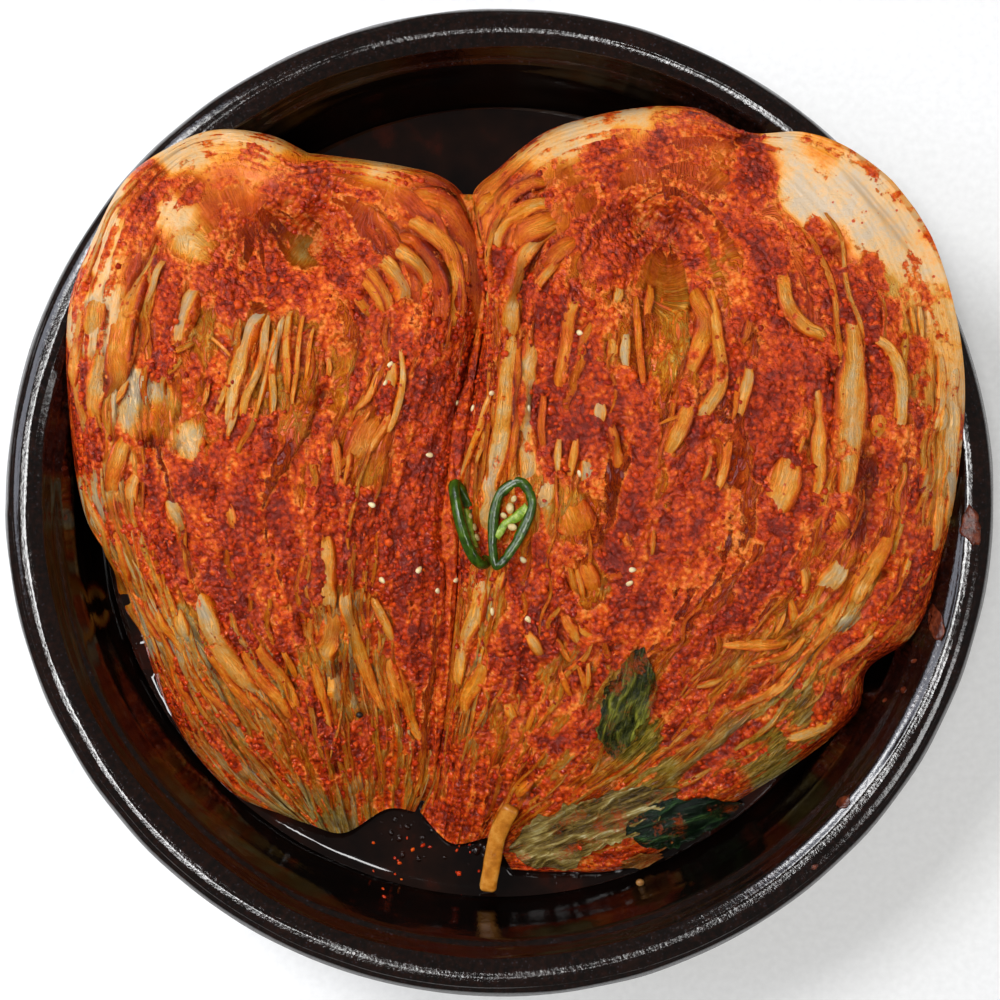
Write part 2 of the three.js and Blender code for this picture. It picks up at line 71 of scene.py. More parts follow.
def drift(x, y, seed=0):
    """A smooth random field from -1 to 1 that changes over a distance of about 1."""
    x, y = np.broadcast_arrays(np.asarray(x, float), np.asarray(y, float))
    column, row = np.floor(x).astype(np.int64), np.floor(y).astype(np.int64)
    u, v = x - column, y - row
    u, v = u * u * (3 - 2 * u), v * v * (3 - 2 * v)

    def corner(right, up):
        key = (column + right) * 73856093 ^ (row + up) * 19349663 ^ (seed + 1) * 83492791
        return LATTICE[key & 4095]

    low = corner(0, 0) * (1 - u) + corner(1, 0) * u
    high = corner(0, 1) * (1 - u) + corner(1, 1) * u
    return low * (1 - v) + high * v


def drifts(x, y, seed=0, layers=3):
    """Several drifts on top of each other, each half as large and twice as fine."""
    total = 0
    for layer in range(layers):
        total = total + drift(x * 2**layer, y * 2**layer, seed + 7 * layer) / 2**layer
    return total / (2 - 0.5 ** (layers - 1))


def crease(x, y, seed=0):
    """Sharp ridges, 1 on their crests and down to 0 between them."""
    return 1 - np.minimum(1, 2.2 * np.abs(drifts(x, y, seed, 2)))


def ease(low, high, value):
    """From 0 where the value is low to 1 where it is high, slowly at both ends."""
    share = np.clip((value - low) / (high - low), 0, 1)
    return share * share * (3 - 2 * share)


def along_keys(keys, x):
    places, values = zip(*keys)
    return np.interp(x, places, values)


def smoothed(values, reach):
    """Evens values out along their first axis, over reach steps to each side."""
    window = np.hanning(2 * reach + 3)[1:-1]
    padded = np.concatenate([values[:1]] * reach + [values] + [values[-1:]] * reach)
    columns = [np.convolve(column, window / window.sum(), "valid") for column in padded.T]
    return np.stack(columns, -1)


# ---------------------------------------------------------------- places

def joined(*parts):
    """Coordinates, spread over each other, as points."""
    return np.stack(np.broadcast_arrays(*parts), -1)


def unit(vectors):
    return vectors / np.linalg.norm(vectors, axis=1)[:, None]


def spun(x, y, turn):
    """Places turned anticlockwise round the origin."""
    return x * np.cos(turn) - y * np.sin(turn), x * np.sin(turn) + y * np.cos(turn)


def cubic(p0, p1, p2, p3, w):
    """Catmull-Rom spline from p1 to p2."""
    v0, v1 = (p2 - p0) / 2, (p3 - p1) / 2
    return (2 * p1 - 2 * p2 + v0 + v1) * w**3 + (3 * p2 - 3 * p1 - 2 * v0 - v1) * w**2 + v0 * w + p1


def through(points, share):
    """A spline through evenly counted points, with its end points doubled."""
    points = np.asarray(points, float)
    last = len(points) - 1
    at = np.clip(np.asarray(share, float), 0, 1) * last
    first = np.minimum(np.floor(at).astype(int), last - 1)
    near = (points[np.clip(first + k, 0, last)] for k in (-1, 0, 1, 2))
    return cubic(*near, (at - first)[..., None])


def evenly_along(points, steps=300):
    """The spline through the points as a function of the share of its length."""
    dense = through(points, np.linspace(0, 1, steps + 1))
    walked = np.r_[0, np.cumsum(np.linalg.norm(np.diff(dense, axis=0), axis=1))]
    total = walked[-1]

    def place(share):
        flat = np.clip(share, 0, 1) * total
        return np.stack([np.interp(flat, walked, dense[:, k]) for k in range(dense.shape[1])], -1)

    return place, total


def settle(plan, z):
    """Brings plan places to the heights z, along lines that meet at the apex."""
    plan = np.asarray(plan, float)
    spread = (APEX_HEIGHT - z) / (APEX_HEIGHT - PLAN_HEIGHT)
    return joined(plan[..., 0] * spread, plan[..., 1] * spread, z)


def tree_of(*meshes):
    """A search tree over several meshes, each given as its points and its groups of faces."""
    points, faces = [], []
    for part, groups in meshes:
        for group in groups:
            faces += (group + len(points)).tolist()
        points += part.tolist()
    return bvhtree.BVHTree.FromPolygons(points, faces)


def seen(x, y, tree, behind=None):
    """The place that a plan place shows on a tree's meshes, or on those behind them or else on
    the brine, and the direction straight up from it."""
    hit, normal, _, _ = tree.ray_cast(APEX, Vector((x, y, PLAN_HEIGHT)) - APEX)
    if hit is not None and hit.z >= BRINE_LEVEL:
        return np.array(hit), np.array(normal) * (1 if normal.z > 0 else -1)
    if behind:
        return seen(x, y, behind)
    return settle((x, y), BRINE_LEVEL), np.array((0, 0, 1.0))


def nearest(places):
    """A search tree over places."""
    tree = kdtree.KDTree(len(places))
    for k, place in enumerate(places):
        tree.insert(place, k)
    tree.balance()
    return tree


# ---------------------------------------------------------------- meshes

def make_piece(name, points, groups, marks, material, slot="seasoned_cabbage", replaced=()):
    """A smooth mesh in millimetres, with marks that its material reads, that rides on the part."""
    mesh = bpy.data.meshes.new(name)
    faces = [face for group in groups for face in group.tolist()]
    mesh.from_pydata((np.asarray(points) * MM).tolist(), [], faces)
    mesh.polygons.foreach_set("use_smooth", np.ones(len(mesh.polygons), bool))
    for key, values in marks.items():
        values = np.asarray(values, np.float32)
        kind, field = ("FLOAT_VECTOR", "vector") if values.ndim == 2 else ("FLOAT", "value")
        mesh.attributes.new(key, kind, "POINT").data.foreach_set(field, values.ravel())
    mesh.materials.append(material)
    mesh.update()
    piece = bpy.data.objects.new(name, mesh)
    bpy.context.scene.collection.objects.link(piece)
    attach(piece, "root")
    if replaced:
        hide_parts(*replaced)


class Batch:
    """Points, groups of faces and marks of many small bodies that become one mesh."""

    def __init__(self):
        self.points, self.groups, self.marks, self.count = [], [], [], 0
        self.gaps, self.beds = [], []

    def add(self, points, groups, **marks):
        points = np.asarray(points, float).reshape(-1, 3)
        self.groups += [group + self.count for group in groups]
        self.points.append(points)
        self.marks.append({name: np.broadcast_to(value, (len(points),) + np.shape(value)[1:])
                           for name, value in marks.items()})
        self.count += len(points)
        return self

    def mesh(self):
        return np.vstack(self.points), self.groups

    def make(self, name, *looks):
        marks = {key: np.concatenate([part[key] for part in self.marks]) for key in self.marks[0]}
        make_piece(name, *self.mesh(), marks, *looks)


def grid_faces(rows, columns, ring=False):
    """Quads over a grid of rows by columns of points; a ring closes each row on itself."""
    row, column = np.meshgrid(np.arange(rows - 1), np.arange(columns - (not ring)), indexing="ij")
    after = (column + 1) % columns
    corners = [row * columns + column, row * columns + after,
               (row + 1) * columns + after, (row + 1) * columns + column]
    return np.stack(corners, -1).reshape(-1, 4)


def tube_faces(rows, columns, flip=False):
    """Faces round a tube of rows by columns of points, and a cap on each of its ends."""
    first = np.arange(columns)[None]
    groups = [grid_faces(rows, columns, ring=True), first[:, ::-1], first + (rows - 1) * columns]
    return [group[:, ::-1] for group in groups] if flip else groups


def round_turn(sides):
    return np.linspace(0, TURN, sides, endpoint=False)


def turned(profile, sides):
    """A body turned round the Z axis from a profile of (radius, height)."""
    radius, height = np.asarray(profile, float).T[..., None]
    return joined(radius * np.cos(round_turn(sides)), radius * np.sin(round_turn(sides)), height)


# ---------------------------------------------------------------- materials

def linear(hex_colour):
    """An sRGB colour such as "#aabbcc" as linear red, green, blue and full cover."""
    parts = [int(hex_colour[k:k + 2], 16) / 255 for k in (1, 3, 5)]
    return [p / 12.92 if p <= 0.04045 else ((p + 0.055) / 1.055) ** 2.4 for p in parts] + [1.0]


def add(material, kind, *inputs, stops=(), give=None, **settings):
    """Adds a node with its settings and returns one of its outputs. Inputs come in the node's
    own order or, in a dict, by name: each is a value, a colour in hex or another output."""
    made = material.node_tree.nodes.new("ShaderNode" + kind)
    for name, value in settings.items():
        setattr(made, name, value)
    sockets = [socket for socket in made.inputs if socket.enabled]
    for place, given in enumerate(inputs):
        for key, value in (given.items() if isinstance(given, dict) else [(place, given)]):
            socket = made.inputs[key] if isinstance(key, str) else sockets[key]
            if isinstance(value, bpy.types.NodeSocket):
                material.node_tree.links.new(value, socket)
            else:
                socket.default_value = linear(value) if isinstance(value, str) else value
    for _ in stops[2:]:
        made.color_ramp.elements.new(0.5)
    for k, (place, colour) in enumerate(stops):
        made.color_ramp.elements[k].position = place
        made.color_ramp.elements[k].color = linear(colour)
    return made.outputs[give] if give else next((s for s in made.outputs if s.enabled), None)


def new_material(name, *marks):
    """An empty material, the place on the piece, and the marks that it reads."""
    material = bpy.data.materials.new(name)
    material.use_nodes = True
    material.node_tree.nodes.clear()
    place = add(material, "TexCoord", give="Object")
    return material, place, *(add(material, "Attribute", give="Fac", attribute_name=mark)
                              for mark in marks)


def drawn_out(material, along, across):
    """The leaf's own place, drawn out along its fibres: their length and width."""
    flow = add(material, "Attribute", give="Vector", attribute_name="flow")
    return add(material, "VectorMath", flow, (1 / along, 1 / across, 0), operation="MULTIPLY")


def finish_with(material, inputs):
    """Gives the material its shader and its output."""
    add(material, "OutputMaterial", add(material, "BsdfPrincipled", inputs))
    return material


FIBRE_WIDTH = 1.5  # bundles of fibre in a salted leaf; single fibres are too fine to show
FIBRE_LENGTH = 34.0
WRINKLE_WIDTH = 2.3
WRINKLE_LENGTH = 10.0
GRAIN = 1.3  # coarse gochugaru: crushed dried chilli
LUMP_SIZE = 2.4
SAUCE = 1.6  # ripples of the wet sauce that coats the grains
BLOTCH = 8.0
REGION = 17.0  # how far the paste stays orange or deep red
FLECK = 3.4  # room round each loose flake of chilli


def salted_cabbage():
    """Salted napa cabbage under chilli paste: limp wet flesh, half clear, ribbed along the leaf,
    smooth on the ribs and wrinkled on the leaf, stained orange by the oil of the chilli. Where
    the paste lies it is a coarse wet red, and orange where it thins out."""
    m, place, tone, paste, green, deep, sleek = new_material(
        "salted_cabbage", "tone", "paste", "green", "deep", "sleek")
    fibres = add(m, "TexNoise", drawn_out(m, FIBRE_LENGTH, FIBRE_WIDTH), 1.0, 5.0, 0.62)
    wrinkles = add(m, "TexNoise", drawn_out(m, WRINKLE_LENGTH, WRINKLE_WIDTH), 1.0, 4.0, 0.6,
                   {"Distortion": 1.7})
    blotches = add(m, "TexNoise", place, 1 / (BLOTCH * MM), 6.0, 0.7)
    regions = add(m, "TexNoise", place, 1 / (REGION * MM), 3.0, 0.6)
    grains = add(m, "TexNoise", place, 1 / (GRAIN * MM), 4.0, 0.72)
    sauce = add(m, "TexNoise", place, 1 / (SAUCE * MM), 1.0)
    lumps = add(m, "TexVoronoi", place, 1 / (LUMP_SIZE * MM))
    # How wrinkled the leaf is, from 0 on a smooth rib, and how much its fibres show
    limp = add(m, "Math", 1.0, sleek, operation="SUBTRACT")
    stringy = add(m, "Math", limp, 0.42, 0.08, operation="MULTIPLY_ADD")
    centred = add(m, "Math", fibres, 0.5, operation="SUBTRACT")
    fibre_tone = add(m, "Math", centred, stringy, operation="MULTIPLY")
    # Folds of the limp leaf: 1 on a crest and 0 between two
    folds = add(m, "Math", wrinkles, 0.5, operation="SUBTRACT")
    folds = add(m, "Math", folds, operation="ABSOLUTE")
    folds = add(m, "MapRange", folds, 0.0, 0.11, 1.0, 0.0)
    folds = add(m, "Math", folds, limp, operation="MULTIPLY")
    # Leaf colour: white rib, cream, pale yellow, golden leaf, oil stain, red stain, soaked
    stain_and_fold_light = add(m, "Math", tone, fibre_tone, operation="ADD")
    # Painted light: the crests of the folds are paler and the hollows between them darker
    stain_and_fold_light = add(m, "Math", folds, -0.34, stain_and_fold_light, operation="MULTIPLY_ADD")
    stain_and_fold_light = add(m, "Math", blotches, 0.7, stain_and_fold_light, operation="MULTIPLY_ADD")
    stain_and_fold_light = add(m, "Math", grains, -0.3, stain_and_fold_light, operation="MULTIPLY_ADD")
    stain_and_fold_light = add(m, "Math", stain_and_fold_light, 0.15, operation="SUBTRACT")
    pale = add(m, "ValToRGB", stain_and_fold_light, stops=[
        (0.0, "#c8b092"), (0.12, "#dcb078"), (0.27, "#e89e46"), (0.4, "#e88420"),
        (0.53, "#de660e"), (0.67, "#c84c0a"), (0.83, "#a42c06"), (1.0, "#6a1402")])
    yellow = add(m, "ValToRGB", stain_and_fold_light, stops=[
        (0.0, "#dcc68c"), (0.13, "#e4b65c"), (0.27, "#e89e2e"), (0.42, "#e47e12"),
        (0.56, "#d66008"), (0.72, "#bc3e06"), (1.0, "#6a1602")])
    oiled = add(m, "MapRange", regions, 0.4, 0.58, interpolation_type="SMOOTHSTEP")
    golden = add(m, "MapRange", stain_and_fold_light, 0.22, 0.45, limp)
    oiled = add(m, "Math", oiled, golden, operation="MULTIPLY")
    leaf = add(m, "Mix", oiled, pale, yellow, data_type="RGBA")
    leafy = add(m, "Math", fibres, 0.6, green, operation="MULTIPLY_ADD")
    # Painted highlight: the crests of the folds are less green
    leafy = add(m, "Math", folds, -0.22, leafy, operation="MULTIPLY_ADD")
    leafy = add(m, "MapRange", leafy, 0.35, 1.05, interpolation_type="SMOOTHSTEP")
    greens = add(m, "ValToRGB", stain_and_fold_light, stops=[
        (0.05, "#bca844"), (0.3, "#8e7e20"), (0.5, "#565012"), (0.75, "#26290a")])
    leaf = add(m, "Mix", leafy, leaf, greens, data_type="RGBA")
    # Loose flakes of chilli on the leaf, in clusters
    flake = add(m, "TexVoronoi", place, 1 / (FLECK * MM))
    flake_size = add(m, "Math", flake.node.outputs["Color"], blotches, operation="MULTIPLY")
    flake_size = add(m, "Math", flake_size, 0.95, -0.2, operation="MULTIPLY_ADD")
    flake = add(m, "Math", flake_size, flake, operation="SUBTRACT")
    flake = add(m, "MapRange", flake, 0.0, 0.08)
    leaf = add(m, "Mix", flake, leaf, "#b83c0c", data_type="RGBA")
    # How thick the paste lies: uneven by its grain and in blotches
    thick = add(m, "Math", grains, 0.45, paste, operation="MULTIPLY_ADD")
    smears = add(m, "Math", blotches, 0.5, operation="SUBTRACT")
    patchy = add(m, "Math", sleek, 0.9, 1.0, operation="MULTIPLY_ADD")
    thick = add(m, "Math", smears, patchy, thick, operation="MULTIPLY_ADD")
    thick = add(m, "Math", thick, 0.225, operation="SUBTRACT")
    covered = add(m, "MapRange", thick, 0.36, 0.47, interpolation_type="SMOOTHSTEP")
    # The paste's colour: its own reds by region, thickness and grain, with painted light on the raised
    # grains and painted shade between the lumps
    grit_and_relief_shade = add(m, "Math", grains, -1.9, thick, operation="MULTIPLY_ADD")
    grit_and_relief_shade = add(m, "Math", regions, -1.5, grit_and_relief_shade, operation="MULTIPLY_ADD")
    grit_and_relief_shade = add(m, "Math", lumps, 0.7, grit_and_relief_shade, operation="MULTIPLY_ADD")
    grit_and_relief_shade = add(m, "Math", grit_and_relief_shade, 1.09, operation="ADD")
    red = add(m, "ValToRGB", grit_and_relief_shade, stops=[
        (0.0, "#ec8434"), (0.12, "#e66e1a"), (0.28, "#d8540e"), (0.46, "#c8400a"),
        (0.68, "#a62e08"), (0.92, "#741a04")])
    colour = add(m, "Mix", covered, leaf, red, data_type="RGBA")
    # Painted shade: dark red-brown where the deep mark lies, in the hollows, the gaps between leaf
    # edges, the creases and beside the ribbons
    colour = add(m, "Mix", deep, colour, "#5a1604", data_type="RGBA")
    # Height of the fibres and wrinkles and of the grains, in millimetres
    ribbed = add(m, "Math", fibre_tone, 1.1, operation="MULTIPLY")
    ribbed = add(m, "Math", folds, 1.4, ribbed, operation="MULTIPLY_ADD")
    ribbed = add(m, "Math", grains, 0.35, ribbed, operation="MULTIPLY_ADD")
    coarse = add(m, "Math", grains, 0.75, operation="MULTIPLY")
    coarse = add(m, "Math", sauce, 1.05, coarse, operation="MULTIPLY_ADD")
    coarse = add(m, "Math", lumps, -1.3, coarse, operation="MULTIPLY_ADD")
    height = add(m, "Mix", covered, ribbed, coarse, data_type="FLOAT")
    bump = add(m, "Bump", 1.0, MM, {"Height": height})
    # Chilli oil and brine coat everything with a wet, even film
    shine = add(m, "Mix", covered, 0.15, 0.08, data_type="FLOAT")
    return finish_with(m, {"Base Color": colour, "Roughness": shine, "IOR": 1.41, "Normal": bump})


def chilli_paste():
    """Yangnyeom: coarse chilli flakes in a wet glossy paste; each grain has its own red."""
    m, place, shade = new_material("chilli_paste", "shade")
    mottle = add(m, "TexNoise", place, 1 / (0.9 * MM), 2.0)
    mixed = add(m, "Math", mottle, 0.5, shade, operation="MULTIPLY_ADD")
    red = add(m, "ValToRGB", mixed, stops=[
        (0.2, "#7a1404"), (0.45, "#ae2a08"), (0.65, "#cc400a"), (0.85, "#de5e12"),
        (1.0, "#e8842e")])
    bump = add(m, "Bump", 0.6, 0.5 * MM, {"Height": mottle})
    return finish_with(m, {"Base Color": red, "Roughness": 0.12, "IOR": 1.38, "Normal": bump})


def onggi_glaze():
    """Onggi: thrown red earthenware under dark ash glaze, which breaks red-brown where it runs
    thin; grey specks on the rim are painted sheen; the surface is slightly pitted."""
    m, place, thin, rim = new_material("onggi_ash_glaze", "thin", "rim")
    clouds = add(m, "TexNoise", place, 1 / (38 * MM), 5.0, 0.6)
    pits = add(m, "TexNoise", place, 1 / (2.2 * MM), 4.0, 0.65)
    specks = add(m, "TexVoronoi", place, 1 / (1.5 * MM))
    ground = add(m, "ValToRGB", clouds, stops=[
        (0.3, "#050302"), (0.55, "#0a0504"), (0.75, "#160a06")])
    worn = add(m, "Math", pits, 0.8, thin, operation="MULTIPLY_ADD")
    worn = add(m, "MapRange", worn, 0.6, 1.3, interpolation_type="SMOOTHSTEP")
    colour = add(m, "Mix", worn, ground, "#34180f", data_type="RGBA")
    # Painted sheen: grey specks over the rim, where the rim mark lies
    sheen_specks = add(m, "Math", specks, -1.3, rim, operation="MULTIPLY_ADD")
    sheen_specks = add(m, "Math", pits, 1.0, sheen_specks, operation="MULTIPLY_ADD")
    sheen_specks = add(m, "MapRange", sheen_specks, 0.55, 1.1, interpolation_type="SMOOTHSTEP")
    colour = add(m, "Mix", sheen_specks, colour, "#2a2a30", data_type="RGBA")
    bump = add(m, "Bump", 0.7, 0.16 * MM, {"Height": pits})
    gloss = add(m, "MapRange", pits, 0.0, 1.0, 0.02, 0.16)
    return finish_with(m, {"Base Color": colour, "Roughness": gloss, "IOR": 1.52, "Normal": bump})


def kimchi_brine():
    """Cabbage juice and salt, dark over the glaze, with a film of red chilli oil here and there."""
    m, place, oil = new_material("kimchi_brine", "oil")
    film = add(m, "TexNoise", place, 1 / (14 * MM), 4.0)
    thick = add(m, "Math", film, 0.8, oil, operation="MULTIPLY_ADD")
    colour = add(m, "ValToRGB", thick, stops=[
        (0.25, "#0c0605"), (0.5, "#180b07"), (0.75, "#3a1208"), (1.0, "#6b1a08")])
    return finish_with(m, {"Base Color": colour, "Roughness": 0.04, "IOR": 1.37})


def soft_flesh(name, stops, size, roughness, bump_mm, clear):
    """Wet plant flesh with a cloudy colour, from the stops, in patches of the given size."""
    m, place = new_material(name)
    cloud = add(m, "TexNoise", place, 1 / (size * MM), 4.0, 0.6)
    colour = add(m, "ValToRGB", cloud, stops=stops)
    bump = add(m, "Bump", 1.0, bump_mm * MM, {"Height": cloud})
    return finish_with(m, {"Base Color": colour, "Roughness": roughness, "IOR": 1.4,
                           "Subsurface Weight": clear, "Subsurface Radius": (1.0, 0.6, 0.3),
                           "Subsurface Scale": 2 * MM, "Normal": bump})


VEIN_LENGTH, VEIN_WIDTH = 9, 1.3


def wilted_leaf(name, stops):
    """Salted outer leaf: thin, wet and limp, with paler veins, and painted highlight that makes the
    crests of its folds paler than the hollows between them; orange chilli oil where paste has touched
    it."""
    m, place, crest, oil = new_material(name, "crest", "oil")
    veins = add(m, "TexNoise", drawn_out(m, VEIN_LENGTH, VEIN_WIDTH), 1.0, 5.0, 0.65,
                {"Distortion": 1.2})
    grains = add(m, "TexNoise", place, 1 / (1.2 * MM), 3.0)
    # Painted highlight: paler on the crests of the folds; the veins are paler in their own colour
    light = add(m, "Math", crest, 0.42, veins, operation="MULTIPLY_ADD")
    light = add(m, "Math", light, 0.2, operation="SUBTRACT")
    colour = add(m, "ValToRGB", light, stops=stops)
    oily = add(m, "Math", grains, 0.9, oil, operation="MULTIPLY_ADD")
    oily = add(m, "MapRange", oily, 0.62, 1.05, 0.0, 0.85, interpolation_type="SMOOTHSTEP")
    colour = add(m, "Mix", oily, colour, "#9c3806", data_type="RGBA")
    height = add(m, "Math", grains, 0.5, veins, operation="MULTIPLY_ADD")
    bump = add(m, "Bump", 1.0, 1.6 * MM, {"Height": height})
    return finish_with(m, {"Base Color": colour, "Roughness": 0.14, "IOR": 1.4,
                           "Subsurface Weight": 0.06, "Subsurface Radius": (1.0, 0.8, 0.3),
                           "Subsurface Scale": MM, "Normal": bump})


def matt_board():
    """Matt painted board, for the floor: an even white with a faint roller texture."""
    m, place = new_material("matt_painted_board")
    stipple = add(m, "TexNoise", place, 1 / (3 * MM))
    colour = add(m, "ValToRGB", stipple, stops=[(0.3, "#f4f4f3"), (0.7, "#fafaf9")])
    bump = add(m, "Bump", 0.3, 0.1 * MM, {"Height": stipple})
    return finish_with(m, {"Base Color": colour, "Roughness": 0.8, "Normal": bump})


CABBAGE = salted_cabbage()
PASTE = chilli_paste()
GLAZE = onggi_glaze()
BRINE = kimchi_brine()

# ---------------------------------------------------------------- the two halves

RUN_LENGTH = 290.0  # a leaf from root to tip
HALF_WIDTH = 75.0  # from the middle leaf to the outermost
COLUMNS, ROWS = 240, 296
MEAN_LIFT = 2.0  # how far the cut leaf edges stand proud on average
BROAD_LEAF, NARROW_LEAF = 9.5, 3.9  # from one cut leaf edge to the next

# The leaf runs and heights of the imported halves, in millimetres
LEFT_HALF = dict(
    runs=[
        [(-73, 134), (-88, 141), (-108, 143), (-125, 137), (-143, 124), (-156, 100), (-165, 74),
         (-165, 38), (-159, -4), (-144, -31), (-126, -81), (-104, -110), (-83, -120)],
        [(-84, 122), (-100, 129), (-119, 124), (-132, 106), (-140, 81), (-144, 51), (-142, 16),
         (-134, -22), (-117, -61), (-94, -99), (-72, -124)],
        [(-94, 110), (-91, 93), (-91, 62), (-91, 28), (-89, -7), (-82, -41), (-73, -76),
         (-59, -127)],
        [(-84, 122), (-69, 124), (-50, 118), (-36, 106), (-29, 89), (-29, 66), (-36, 39),
         (-44, 12), (-48, -22), (-48, -57), (-44, -91), (-43, -118)],
        [(-73, 134), (-56, 132), (-37, 129), (-22, 125), (-12, 116), (-7, 100), (-6, 91),
         (-8, 66), (-13, 39), (-18, 1), (-18, -30), (-20, -57), (-23, -84), (-27, -107),
         (-32, -119)],
    ],
    ridge=[(0, 86), (0.09, 78), (0.22, 88), (0.5, 83), (0.7, 71), (0.86, 54), (1, 33)],
    left_edge=[(0, 62), (0.1, 76), (0.22, 84), (0.37, 80), (0.48, 67), (0.6, 50), (0.68, 38),
               (0.8, 31), (1, 29)],
    right_edge=[(0, 62), (0.12, 70), (0.22, 64), (0.38, 64), (0.6, 66), (0.8, 56), (0.9, 43),
                (1, 30)],
    shift=-0.5, seed=11)

RIGHT_HALF = dict(
    runs=[
        [(58, 152), (39, 149), (17, 142), (-1, 128), (-11, 117), (-6, 99), (-5, 89), (-7, 66),
         (-12, 39), (-17, 1), (-17, -30), (-19, -57), (-22, -84), (-26, -107), (-31, -119)],
        [(60, 131), (46, 132), (25, 124), (10, 106), (3, 81), (2, 51), (2, 20), (0, -15),
         (-4, -45), (-9, -76), (-15, -103), (-19, -131)],
        [(64, 110), (62, 85), (61, 55), (58, 20), (54, -15), (42, -53), (23, -91), (-4, -129)],
        [(60, 131), (77, 135), (100, 126), (117, 106), (129, 78), (135, 47), (135, 12),
         (127, -22), (104, -57), (73, -91), (35, -118), (0, -134)],
        [(58, 152), (76, 151), (95, 142), (117, 142), (137, 134), (158, 115), (171, 87),
         (178, 50), (176, 13), (168, -27), (160, -50), (141, -64), (137, -81), (117, -98),
         (92, -114), (52, -139), (24, -142), (4, -141)],
    ],
    ridge=[(0, 92), (0.09, 86), (0.22, 94), (0.5, 87), (0.7, 73), (0.86, 56), (1, 32)],
    left_edge=[(0, 76), (0.15, 72), (0.23, 62), (0.38, 64), (0.6, 66), (0.8, 56), (0.9, 43),
               (1, 30)],
    right_edge=[(0, 76), (0.09, 86), (0.18, 96), (0.24, 98), (0.3, 94), (0.38, 86),
                (0.46, 76), (0.54, 66), (0.6, 57), (0.65, 42), (0.74, 35), (0.85, 31), (1, 29)],
    shift=0.5, seed=23)

HALVES = {"left": LEFT_HALF, "right": RIGHT_HALF}

